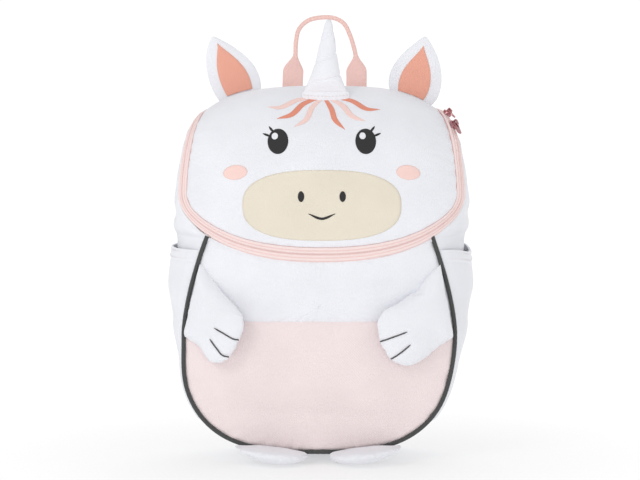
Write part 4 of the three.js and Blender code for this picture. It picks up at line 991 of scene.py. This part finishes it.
def ear(u, v, cut, face, lift=0.0):
    """Ear surface: u runs across from -1 to 1, v from the foot to the tip. The face is -1 front or 1 back.

    Two bowed edges meet at the tip, a straight line joins them, and the stuffing swells between them.
    """
    sign, *edges, tip = cut
    bowed = [(bezier(foot, bow[0], tip[0], v), bezier(ear_foot(foot), bow[1], tip[1], v)) for foot, bow in edges]
    share = (u + 1) / 2
    x, z = (mix(bowed[0][k], bowed[1][k], share) for k in (0, 1))
    straight = mix(ear_foot(edges[0][0]), ear_foot(edges[1][0]), share)
    z = z + (ear_foot(x) - straight) * (1 - v) ** 2
    fill = (1 - np.abs(u) ** 2.4) * np.sqrt(np.clip(1 - np.abs(v) ** 3, 0, 1))
    y = EAR_Y - lift + face * (EAR_EDGE / 2 + EAR_THICK / 2 * fill)
    return np.stack(np.broadcast_arrays(sign * x, y, z), -1)


for name, cut in EARS.items():
    u, v = np.meshgrid(np.linspace(-1, 1, 49), np.linspace(EAR_FOOT, EAR_TOP, 80))
    swell = 0.3 * waves(u * 16, v * 45, 22, 75) * (1 - u**4)
    front, rear = ear(u, v, cut, -1, swell), ear(u[:, ::-1], v, cut, 1)
    ring = capped(np.concatenate([front, rear, front[:, :1]], 1))
    piece(f"ear_{name}_leaf", [(ring, ring[..., [0, 2]])], white, f"ear_{name}")
    u, v = np.meshgrid(np.linspace(-1, 1, 41), np.linspace(LINING_FOOT, LINING_TOP, 70))
    width = 0.6 * np.clip(1 - (v / LINING_TOP) ** 3.6, 0, 1)
    edge = (1 - np.abs(u)) * width * 19
    lining = ear(u * width, v, cut, -1, 1.3 - 0.8 * np.exp(-((edge / 1.2) ** 2)))
    sheet = [(lining, lining[..., [0, 2]])]
    piece(f"ear_{name}_lining", sheet, coral, f"ear_inner_{name}", 0.9, "stretched", behind=(0, 200, 330))

# %% [markdown]
# ## Horn
# The horn is a stuffed cone with a seam wound round it, and a flat band at its foot where it is sewn into the
# head. Its sections come from a table, and the winding seam is a groove whose angle turns with the height.

# %% Horn
HORN_X, HORN_Y, HORN_LEAN, HORN_TURNS, HORN_RISE, HORN_SUNK = 2.4, -21.0, 3.4, 3.5, 63.5, 1.5
HORN_SECTIONS = np.array([
    (0, 19.8, 3.4), (3.4, 19.5, 3.6), (4.0, 17.8, 3.8), (9, 15.9, 6.4), (14, 13.8, 8.2), (19, 12, 8.9),
    (24, 10.5, 8.9), (30, 9.1, 8.4), (36, 8, 7.5), (42, 6.9, 6.5), (48, 5.8, 5.5), (54, 4.5, 4.3), (60, 3.2, 3),
    (63.5, 1.6, 1.5),
])  # rise, half width and half depth


def head_height_at(y):
    """Height of the head's profile between its front and its crown: a quarter of a superellipse."""
    share = (CROWN[0] - y) / (CROWN[0] - HEAD_FRONT_Y)
    return mix(BEND_Z, CROWN[1], (1 - share**ROUNDNESS) ** (1 / ROUNDNESS))


def horn(rise, angle):
    """Horn surface: an oval section for each rise, squeezed by the wound seam, on the slope of the head."""
    half_width, half_depth = (np.interp(rise, HORN_SECTIONS[:, 0], HORN_SECTIONS[:, k]) for k in (1, 2))
    up = rise / HORN_RISE
    wound = np.maximum(np.cos(angle - 2 * np.pi * HORN_TURNS * up), 0) ** 14
    squeeze = 1 - 0.11 * wound * smooth((rise - 8) / 8) + 0.015 * waves(angle * 9, rise + 0 * angle, 14, 77)
    half_depth = half_depth * (1 - 0.22 * np.exp(-(((rise - 3.8) / 0.5) ** 2)))
    x = HORN_X + HORN_LEAN * up + 0.9 * (1 - smooth(rise / 9)) + half_width * squeeze * np.cos(angle)
    y = HORN_Y + half_depth * squeeze * np.sin(angle)
    foot = mix(head_height_at(y), head_height_at(HORN_Y), smooth(rise / 6)) + SEAM
    return np.stack(np.broadcast_arrays(x, y, foot + rise), -1)


rise, angle = np.meshgrid(np.linspace(-HORN_SUNK, HORN_RISE, 190), np.linspace(0, 2 * np.pi, 97), indexing="ij")
rings = capped(horn(rise, angle))
flat = np.stack([np.broadcast_to(angle[0] * 9, rings.shape[:2]), rings[..., 2]], -1)
piece("horn_cone", [(rings, flat)], white, "horn")
print("tip of the horn in mm:", np.round(rings[-1, 0], 1).tolist())

# %% [markdown]
# ## Stuffed arms and feet
# Arms and feet are stuffed: two layers sewn together round the edge and turned. Each starts as a flat pillow,
# a front and a back that share an outline. Blender's cloth solver then blows it up: the pillow is remeshed
# evenly, pressure pushes its walls out while the cloth resists, and the result is kept. What a remesh would
# lose comes after that, as a relief over the swollen points: the puckers of the seam and the sewn fingers. An arm
# is drawn in its own plane: a counts out from its sewn root and b along the root. The hand lifts that plane.

# %% Stuffing tools
# Size of the even mesh in mm, pressure, the most that a point may move in mm, and steps of the solver.
VOXEL, PRESSURE, SWELL_CAP, SWELL_FRAMES = 2.4, 4.0, 3.5, 20


def dome(rho):
    """How the stuffing falls away towards the edge: (1 - rho^2.4)^0.7."""
    return np.clip(1 - rho**2.4, 0, 1) ** 0.7


def pillow(outline, front, back, rings=34):
    """Two faces of rings over the same outline, a front and a back, joined at the edge."""
    a, b, rho = shrunk(outline, outline[:-1].mean(0), rings)
    points = np.concatenate([front(a, b, rho), back(a, b, rho)[::-1]])
    flat = np.stack([np.concatenate([a, a[::-1]]), np.concatenate([b, b[::-1]])], -1)
    return points, flat


def points_of(mesh, kind="co"):
    """All points of a mesh, or their normals, as one array. Points are in mm."""
    values = np.empty(len(mesh.vertices) * 3, np.float32)
    mesh.vertices.foreach_get(kind, values)
    return values.reshape(-1, 3).astype(float) / (MM if kind == "co" else 1)


def settled(obj):
    """Puts what the modifiers make into the mesh, and takes the modifiers off."""
    shaped = bpy.data.meshes.new_from_object(obj.evaluated_get(bpy.context.evaluated_depsgraph_get()))
    obj.modifiers.clear()
    obj.data = shaped


def swollen(obj):
    """Remeshes a pillow evenly, swells it with cloth under pressure, caps the way moved and subdivides it."""
    even = obj.modifiers.new("even", "REMESH")
    even.mode, even.voxel_size = "VOXEL", VOXEL * MM
    settled(obj)
    start = points_of(obj.data)
    cloth = obj.modifiers.new("stuffing", "CLOTH").settings
    cloth.use_pressure, cloth.uniform_pressure_force, cloth.effector_weights.gravity = True, PRESSURE, 0
    for frame_number in range(1, SWELL_FRAMES + 1):
        bpy.context.scene.frame_set(frame_number)
    settled(obj)
    bpy.context.scene.frame_set(1)
    moved = points_of(obj.data) - start
    way = np.linalg.norm(moved, axis=-1, keepdims=True)
    places = start + moved * np.minimum(1, SWELL_CAP / np.maximum(way, 1e-6))
    obj.data.vertices.foreach_set("co", (places * MM).ravel())
    finer = obj.modifiers.new("finer", "SUBSURF")
    finer.levels = finer.render_levels = 1
    settled(obj)
    print(f"{obj.name}: swollen by {way.mean():.1f} mm on average, {way.max():.1f} mm at most")


def embossed(obj, relief, flat):
    """Moves each point along its normal by a relief in mm, and lays the cloth's flat coordinates anew."""
    mesh = obj.data
    places = points_of(mesh)
    normals = points_of(mesh, "normal")
    places = places + normals * relief(places, normals)[:, None]
    places[:, 2] = np.maximum(places[:, 2], 0)
    mesh.vertices.foreach_set("co", (places * MM).ravel())
    corner = np.empty(len(mesh.loops), np.int32)
    mesh.loops.foreach_get("vertex_index", corner)
    layer = mesh.uv_layers.get("cloth") or mesh.uv_layers.new(name="cloth")
    layer.data.foreach_set("uv", (flat(places)[corner] * MM).ravel())
    mesh.polygons.foreach_set("use_smooth", np.ones(len(mesh.polygons), bool))
    mesh.update()


# %% Arms
# Depth of the root, swell to the front and to the back, and half the thickness of the sewn edge.
ARM_ROOT_Y, ARM_FRONT, ARM_BACK, ARM_EDGE = -55.1, 10.0, 2.0, 1.5
ARM_TOP, ARM_BOTTOM = np.array([95.0, ARM_ROOT_Y, 164.0]), np.array([105.5, ARM_ROOT_Y, 104.5])
MITTENS = {
    "left": (-1, 30.0, [(-5.8, 3.0), (-9.6, -0.5)], [
        (6, 23), (16, 15.7), (27.3, 8.5), (35.7, 3.4), (42.7, -2.4), (45.3, -8.1), (45.1, -15.5), (44.2, -22.6),
        (41.4, -30.3), (37.8, -37.8), (33, -43.2), (26.3, -46.5), (18.7, -45.5), (8.4, -37.2),
    ]),
    "right": (1, 20.0, [(-3.5, 1.5), (-3.5, 0.0)], [
        (9.6, 25), (20.6, 17.6), (29.8, 14), (40.3, 8.9), (51.4, 4.8), (56.6, 1.9), (60.4, -4), (61.2, -11.3),
        (61, -21), (58.8, -28.5), (55.4, -37.2), (49.2, -42.1), (42, -45.2), (34.8, -45.2), (24.6, -42.4),
        (13.5, -36.5),
    ]),
}  # side, lift of the hand in degrees, shift of both ends of the sewn root, and the outline, as (a, b)
FINGERS = {
    "left": [[(-88, 115.1), (-80.1, 110.8), (-71.9, 106.3), (-66.5, 105.4)],
             [(-91.7, 105.9), (-86.2, 98.5), (-81.2, 92.5), (-76, 91.2)]],
    "right": [[(69.7, 112.1), (58, 107.8), (43.6, 102.6)], [(72.5, 101.4), (63.9, 94.4), (52.9, 87.1)]],
}  # the sewn lines on the front of each hand, as x and z
FINGER_DEPTH, FINGER_WIDTH = 1.5, 1.7
arm_along = unit(ARM_TOP - ARM_BOTTOM)
arm_inward = np.array([-arm_along[2], 0, arm_along[0]])
arm_half = np.linalg.norm(ARM_TOP - ARM_BOTTOM) / 2


def make_arm(name):
    """An arm: a pillow in a plane that turns the hand forward, swollen, with puckers and sewn fingers."""
    sign, lift, sewn_ends, rows = MITTENS[name]
    cos, sin = np.cos(np.radians(lift)), np.sin(np.radians(lift))
    flip = np.array([sign, 1, 1])
    out, forward = (arm_inward * cos + [0, -sin, 0]) * flip, (-arm_inward * sin + [0, -cos, 0]) * flip
    along, root = arm_along * flip, (ARM_TOP + ARM_BOTTOM) / 2 * flip
    top, low = np.array(sewn_ends) + [(0, arm_half), (0, -arm_half)]
    outline = resampled(np.concatenate([bent([top, *rows, low], 400), [top]]), 260)

    def face(turn, bulge):
        """One face of the pillow: the arm's plane, moved out by half the edge and the dome of stuffing."""
        place = lambda a, b: root + a[..., None] * out + b[..., None] * along
        return lambda a, b, rho: place(a, b) + turn * forward * (ARM_EDGE + bulge * dome(rho))[..., None]

    def flat(places):
        """Flat coordinates (a, b) of points: lengths out from the root and along it."""
        return np.stack([(places - root) @ out, (places - root) @ along], -1)

    def relief(places, normals):
        """Puckers that fade away from the seam, soft waves, and a bell-shaped groove at each sewn finger."""
        a, b = flat(places).T
        edge = distance_to(a, b, outline)
        facing = smooth(normals @ forward / 0.5)
        pucker = 0.4 * waves(np.arctan2(b, a - 25) * 30, edge * 0.5, 7, 82) * np.exp(-edge / 5)
        lines = np.concatenate([bent(line, 60) for line in FINGERS[name]])
        sewn = np.exp(-((distance_to(places[:, 0], places[:, 2], lines) / FINGER_WIDTH) ** 2))
        return pucker + 0.3 * waves(a, b, 24, 81) - FINGER_DEPTH * facing * sewn

    pad = pillow(outline, face(1, ARM_FRONT), face(-1, ARM_BACK))
    obj = piece(f"arm_{name}_mitten", [pad], white, f"arm_{name}")
    swollen(obj)
    embossed(obj, relief, flat)
    return obj


arms = {name: make_arm(name) for name in MITTENS}

# %% [markdown]
# Dark thread shows in the sewn fingers. A ray from the front finds the cloth under each point of the line,
# and a thin tube follows it there.


# %% Finger threads
def laid_on(obj, line):
    """Points of a line of (x, z) on the front of an object, found with rays from the front."""
    hits = [obj.ray_cast(Vector((x, -200, z)) * MM, (0, 1, 0)) for x, z in line]
    return np.array([hit[1] for hit in hits if hit[0]]) / MM


bpy.context.view_layer.update()
for name, lines in FINGERS.items():
    for i, line in enumerate(lines):
        path = resampled(laid_on(arms[name], resampled(bent(line, 60), 40)), 40) + [0, -0.15, 0]
        tangent = unit(np.gradient(path, axis=0))
        side = unit(np.cross(tangent, [0, -1, 0]))
        radius = 0.62 * np.minimum(1, 0.35 + 6 * np.linspace(0, 1, 40))
        thread = swept(path, side, np.cross(side, tangent), radius, radius, 10)
        piece(f"arm_{name}_finger_thread_{i}", [thread], dark_thread)

# %% [markdown]
# The feet are pillows too, tilted outwards and flat where they rest on the floor. They swell and pucker as the
# arms do, so only their outline and their two faces are new.

# %% Feet
FOOT_HALF, FOOT_LENGTH, FOOT_REAR_Y, FOOT_EDGE_Z = 30.5, 38.0, -49.4, 11.0
FOOT_TOP, FOOT_SOLE, FOOT_SLOPE = 1.8, 6.8, np.tan(np.radians(7.0))  # swell above and below the sewn edge
FEET = {"left": (-1, -41.8), "right": (1, 36.2)}  # side, and the middle of the foot
angle = np.linspace(0, np.pi, 160)
toe = np.stack([FOOT_HALF * np.cos(angle), FOOT_REAR_Y - FOOT_LENGTH * np.sin(angle).clip(0) ** 0.8], -1)
foot_outline = resampled(np.concatenate([toe, np.linspace(toe[-1], toe[0], 60)[1:]]), 260)


def make_foot(name):
    """A foot: a pillow tilted outwards, thinner at its outer end, and flat where it rests on the floor."""
    sign, middle = FEET[name]

    def face(turn, bulge):
        """One face of the pillow: a sloping plane, moved out by the dome of stuffing, and never below the floor."""
        thin = lambda a: 1 - 0.55 * smooth((a / FOOT_HALF - 0.2) / 0.8)
        height = lambda a, rho: (ARM_EDGE + bulge * dome(rho)) * thin(a)
        level = lambda a, rho: np.maximum(FOOT_EDGE_Z + FOOT_SLOPE * a + turn * height(a, rho), 0)
        return lambda a, y, rho: np.stack([middle + sign * a, y, level(a, rho)], -1)

    def flat(places):
        """Flat coordinates of points: the way out from the middle of the foot, and the depth."""
        return np.stack([sign * (places[:, 0] - middle), places[:, 1]], -1)

    def relief(places, normals):
        """Puckers that fade away from the seam, and soft waves."""
        a, y = flat(places).T
        edge = distance_to(a, y, foot_outline)
        pucker = 0.4 * waves(np.arctan2(y + 60, a) * 28, edge * 0.5, 7, 92) * np.exp(-edge / 5)
        return pucker + 0.25 * waves(a, y, 18, 91)

    pad = pillow(foot_outline, face(1, FOOT_TOP), face(-1, FOOT_SOLE))
    obj = piece(f"foot_{name}_pad", [pad], white, f"foot_{name}")
    swollen(obj)
    embossed(obj, relief, flat)


for name in FEET:
    make_foot(name)

# %% [markdown]
# ## Handle
# The grab handle is one length of webbing. It is flat where it is sewn to the back, and folded lengthwise to
# a narrow grip over the top. A rounded section is carried along the loop, and turns from flat to folded.

# %% Handle
HANDLE_Y, FLAT_BELOW_Z, FOLDED_ABOVE_Z = 52.6, 323.0, 338.0
HANDLE_WIDTHS, HANDLE_DEPTHS = (17.5, 3.8), (2.2, 8.0)  # flat, and folded
HANDLE_ROUTE = [
    (-25.1, 288), (-25, 309), (-24.4, 323), (-22.6, 337), (-22.1, 348), (-19.5, 359), (-11.8, 366.4), (0.2, 369.2),
    (11.3, 368.4), (19.1, 363.8), (24.2, 354), (27.2, 344.8), (29, 337), (29.8, 323), (29.8, 309), (29.8, 288),
]  # x and z
x, z = resampled(bent(HANDLE_ROUTE, 600), 300).T
handle_path = np.stack([x, HANDLE_Y + 0 * x, z], -1)
tangent = unit(np.gradient(handle_path, axis=0))
handle_across = np.stack([tangent[:, 2], 0 * x, -tangent[:, 0]], -1)
through = np.broadcast_to([0.0, 1.0, 0.0], handle_across.shape)
folded = smooth((z - FLAT_BELOW_Z) / (FOLDED_ABOVE_Z - FLAT_BELOW_Z))
widths, depths = mix(*HANDLE_WIDTHS, folded) / 2, mix(*HANDLE_DEPTHS, folded) / 2
piece("handle_webbing", [swept(handle_path, handle_across, through, widths, depths, 32, 3.2)], webbing, "handle")
print("handle length in mm:", round(float(length_along(handle_path)[-1])))

# %% [markdown]
# ## Shoulder straps
# Two padded straps are sewn high on the back. Each ends in an adjuster, and a length of webbing runs from it
# to the lower corner of the bag. The straps are out of the photograph's sight, so they are finished plainly,
# with a bound edge.

# %% Shoulder straps
STRAP_ROUTE = [(41, 55.4, 285), (41, 58, 272), (43, 71, 240), (49, 81, 200), (56, 83, 160), (64, 77, 124)]
WEBBING_ROUTE = [(69.4, 72.2, 104.5), (71.2, 70, 97), (77, 63, 73), (83, 54.6, 50), (86, 52, 38)]
STRAP, WEBBING = (42.0, 7.0), (20.0, 1.8)  # width and thickness
BINDING_AT, BINDING = 19.6, (1.7, 3.2)  # distance from the middle of the strap, and half sizes


def band(route, sign, width, thick, steps, corners, power):
    """A band along a route: a flat superellipse whose long side stays as level as the route allows."""
    centres = resampled(bent(np.array(route) * [sign, 1, 1], 400), steps)
    tangent = unit(np.gradient(centres, axis=0))
    across = unit(np.array([1.0, 0, 0]) - tangent * tangent[:, :1])
    through = np.cross(tangent, across)
    return swept(centres, across, through, width / 2, thick / 2, corners, power), (centres, across, through)


bands = {}
for name, sign in (("left", -1), ("right", 1)):
    strap, bands["strap", name] = band(STRAP_ROUTE, sign, *STRAP, 160, 64, 3.6)
    centres, across, through = bands["strap", name]
    piece(f"strap_{name}_pad", [strap], white, f"strap_{name}")
    ribbon, bands["webbing", name] = band(WEBBING_ROUTE, sign, *WEBBING, 60, 40, 5.0)
    piece(f"strap_{name}_webbing", [ribbon], webbing, f"strap_webbing_{name}")
    for edge in (-1, 1):
        binding = swept(centres + across * edge * BINDING_AT, across, through, *BINDING, 20, 3.0)
        piece(f"strap_{name}_binding_{'inner' if edge * sign < 0 else 'outer'}", [binding], webbing)
    finished(f"strap_lock_{name}", pink_plastic, 0.8)
lengths = {" ".join(kind): round(float(length_along(made[0])[-1])) for kind, made in bands.items()}
print("lengths in mm:", lengths)

# %% [markdown]
# ## Stitches
# Rows of short stitches hold the hems. A stitch is a small loop of thread that dips into the cloth at both
# ends, so one short bent tube is repeated along a path, and all stitches of a row make one piece.


# %% Stitch tool
def stitches(name, path, out, material, pitch=3.4, length=2.5, radius=0.32):
    """A row of stitches along a path of points in mm, with the outward direction at each point.

    Each stitch is a thin tube on half a sine wave, and both its ends lie in the cloth.
    """
    run = length_along(path)
    count = int(run[-1] // pitch)
    at = np.arange(count) * pitch + (run[-1] - count * pitch + pitch - length) / 2
    s = np.linspace(0, 1, 6)
    places = at[:, None] + s[None] * length
    centres, up = read_at(places, run, path), unit(read_at(places, run, out))
    tangent = unit(read_at(places + 0.2, run, path) - read_at(places - 0.2, run, path))
    side = np.cross(tangent, up)
    centres = centres + up * (0.55 * np.sin(np.pi * s) - 0.3)[None, :, None]
    angle = np.linspace(0, 2 * np.pi, 6)
    thin = radius * np.array([0.15, 0.9, 1, 1, 0.9, 0.15])[None, :, None, None]
    cos, sin = np.cos(angle)[:, None], np.sin(angle)[:, None]
    rings = centres[:, :, None] + thin * (side[:, :, None] * cos + up[:, :, None] * sin)
    middle = rings[:, :, :-1].mean(2, keepdims=True).repeat(6, 2)
    rings = np.concatenate([middle[:, :1], rings, middle[:, -1:]], 1)
    s = np.r_[0, s, 1]
    flat = np.stack(np.broadcast_arrays(angle[None] * radius, s[:, None] * length), -1)
    return piece(name, [(ring, flat) for ring in rings], material)


# %% Stitches on the front
for name, sign in (("left", -1), ("right", 1)):
    s = np.linspace(0.04, 0.96, 120)
    for row, below in (("top", 2.2), ("low", 7.4)):
        T = sign * (POCKET_MOUTH_T - below / (PIPING_TOP_Z - EGG_WIDE_Z))
        path = pocket(np.full(120, T), s)
        out = np.broadcast_to([sign, 0.0, 0.0], path.shape)
        stitches(f"pocket_{name}_stitches_{row}", path + out * 0.6, out, pale_thread)
front_half = np.linspace(np.pi, 2 * np.pi, 60)
band_rise = np.full(60, 1.8)
out = np.stack([0.3 * np.cos(front_half), np.sin(front_half), 0 * front_half], -1)
stitches("horn_band_stitches", horn(band_rise, front_half), out, pale_thread, 3.0, 2.2)

# %% [markdown]
# The straps, the webbing and the handle are sewn down with boxes of stitches. A row also follows each strap's
# bound edges, and another one the sewn line of the back panel.


# %% Stitches on the back
def on_band(made, runs, sides, lift):
    """Points on the outer side of a band, from lengths along it and distances beside its middle."""
    centres, across, through = made
    run = length_along(centres)
    runs = np.where(np.asarray(runs) < 0, run[-1] + runs, runs)
    middle, beside, inwards = (read_at(runs, run, values) for values in (centres, across, through))
    return middle + beside * np.asarray(sides)[:, None] - inwards * lift, -inwards


def box_path(low, high, half):
    """A rectangle of fifty steps a side, from one length to another and as wide to both sides."""
    corners = np.array([(low, -half), (low, half), (high, half), (high, -half), (low, -half)])
    return np.concatenate([np.linspace(a, b, 50) for a, b in zip(corners[:-1], corners[1:])]).T


STRAP_SKIN, WEBBING_SKIN, EDGE_ROW = 3.4, 0.9, 16.6  # lift of the stitches, and the rows beside the middle
for name in ("left", "right"):
    row = on_band(bands["strap", name], *box_path(5, 27, 15), STRAP_SKIN)
    stitches(f"strap_{name}_stitches_top", *row, pale_thread)
    for side, edge in (("inner", -EDGE_ROW), ("outer", EDGE_ROW)):
        runs = np.linspace(4, 172, 200)
        row = on_band(bands["strap", name], runs, np.full(200, edge), STRAP_SKIN)
        stitches(f"strap_{name}_stitches_{side}", *row, pale_thread)
    row = on_band(bands["webbing", name], *box_path(-17, -4, 7), WEBBING_SKIN)
    stitches(f"strap_{name}_stitches_low", *row, pale_thread)
for name, middle in (("left", HANDLE_ROUTE[0][0]), ("right", HANDLE_ROUTE[-1][0])):
    z, x = box_path(291, 303, 6)
    path = np.stack([x + middle, np.full(x.shape, HANDLE_Y + 1.1), z], -1)
    stitches(f"handle_stitches_{name}", path, np.broadcast_to([0.0, 1.0, 0.0], path.shape), pale_thread)
tangent = unit(np.gradient(BACK_OUTLINE, axis=0))
line = resampled(BACK_OUTLINE + PAD_SEAM * np.stack([tangent[:, 1], -tangent[:, 0]], -1), 600)
path = raised(back, line[:, 0], line[:, 1], np.full(600, -0.9))
stitches("back_panel_stitches", path, np.broadcast_to([0.0, 1.0, 0.0], path.shape), pale_thread, 4.0, 3.0)

# %% [markdown]
# ## Light and floor
# The light is a plain white studio. Walls that glow near the floor's level make the background white and
# wrap the bag in light, while a darker ceiling leaves the upper left to one large soft lamp, which models the
# forms. The floor is matt and pale, and it turns into the walls' own white further out, so no horizon shows.

# %% Light
WALL, CEILING, WALL_TOP, CEILING_FROM = 1.05, 0.72, np.sin(np.radians(8)), np.sin(np.radians(30))
world = bpy.data.worlds.new("white_studio")
world.use_nodes = True
tree = world.node_tree
tree.nodes.clear()
height = add(tree, "SeparateXYZ", {"Vector": add(tree, "TexCoord").outputs["Generated"]}).outputs["Z"]
limits = {"From Min": WALL_TOP, "From Max": CEILING_FROM, "To Min": WALL, "To Max": CEILING}
glow = add(tree, "MapRange", {"Value": height, **limits}, interpolation_type="SMOOTHSTEP")
shine = add(tree, "Background", {"Color": (1.0, 1.0, 1.0, 1.0), "Strength": glow.outputs[0]})
add(tree, "OutputWorld", {"Surface": shine.outputs["Background"]})
bpy.context.scene.world = world
for name, place, size, power in (
    ("key_softbox", (-1000, -1500, 1100), 0.8, 6.0),
    ("front_softbox", (250, -2000, 60), 1.2, 3.6),
    ("back_softbox", (300, 1500, 1400), 1.2, 6.0),
):
    lamp = bpy.data.lights.new(name, "AREA")
    lamp.energy, lamp.size = power, size
    aimed(bpy.data.objects.new(name, lamp), place, BAG_MIDDLE)
print("lamps:", [lamp.name for lamp in bpy.data.lights])

# %% Floor
FLOOR_REACH, FLOOR_DROP, CORNERS = 6000.0, 0.05, 65  # the floor lies a hair under the bag
ring = np.linspace(0, 2 * np.pi, CORNERS)[None]
reach = np.array([0, 300, 600, 1000, 2000, FLOOR_REACH])[:, None]
places = np.stack(np.broadcast_arrays(reach * np.cos(ring), reach * np.sin(ring), 0 * ring - FLOOR_DROP), -1)
quads = np.arange(len(reach) * CORNERS).reshape(-1, CORNERS)
quads = np.stack([quads[:-1, :-1], quads[1:, :-1], quads[1:, 1:], quads[:-1, 1:]], -1).reshape(-1, 4)
floor_mesh = bpy.data.meshes.new("floor")
floor_mesh.from_pydata(places.reshape(-1, 3) * MM, [], quads)
floor_paper, tree, surface = blank("white_studio_paper", Base_Color=linear("#f4f4f4"), Roughness=0.9)
glow = add(tree, "Emission", {"Color": (1.0, 1.0, 1.0, 1.0), "Strength": WALL})
away = add(tree, "VectorMath", {0: add(tree, "TexCoord").outputs["Object"]}, operation="LENGTH")
# Under the bag the paper already glows a little. From 0.4 m out it is as white as the walls.
far = add(tree, "MapRange", {"Value": away.outputs["Value"], "From Min": -0.15, "From Max": 0.4}, clamp=True)
both = add(tree, "MixShader", {0: far.outputs[0], 1: surface.outputs["BSDF"], 2: glow.outputs["Emission"]})
tree.links.new(both.outputs["Shader"], tree.nodes["Material Output"].inputs["Surface"])
floor_mesh.materials.append(floor_paper)
floor = bpy.data.objects.new("floor", floor_mesh)
bpy.context.scene.collection.objects.link(floor)
floor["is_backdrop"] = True
print("floor in mm:", FLOOR_REACH)

# %% [markdown]
# ## Sizes
# The dressed bag has to stay the size of the CAD model, apart from a little fullness of the cloth. The
# difference of the boxes is printed.

# %% Sizes
visual_box = [list(corner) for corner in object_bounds()]
grown = (np.array(visual_box) - np.array(cad_box)) / MM
print("visual box minus CAD box in mm:", np.round(grown, 1).tolist())
print("faces in all meshes:", sum(len(mesh.polygons) for mesh in bpy.data.meshes))
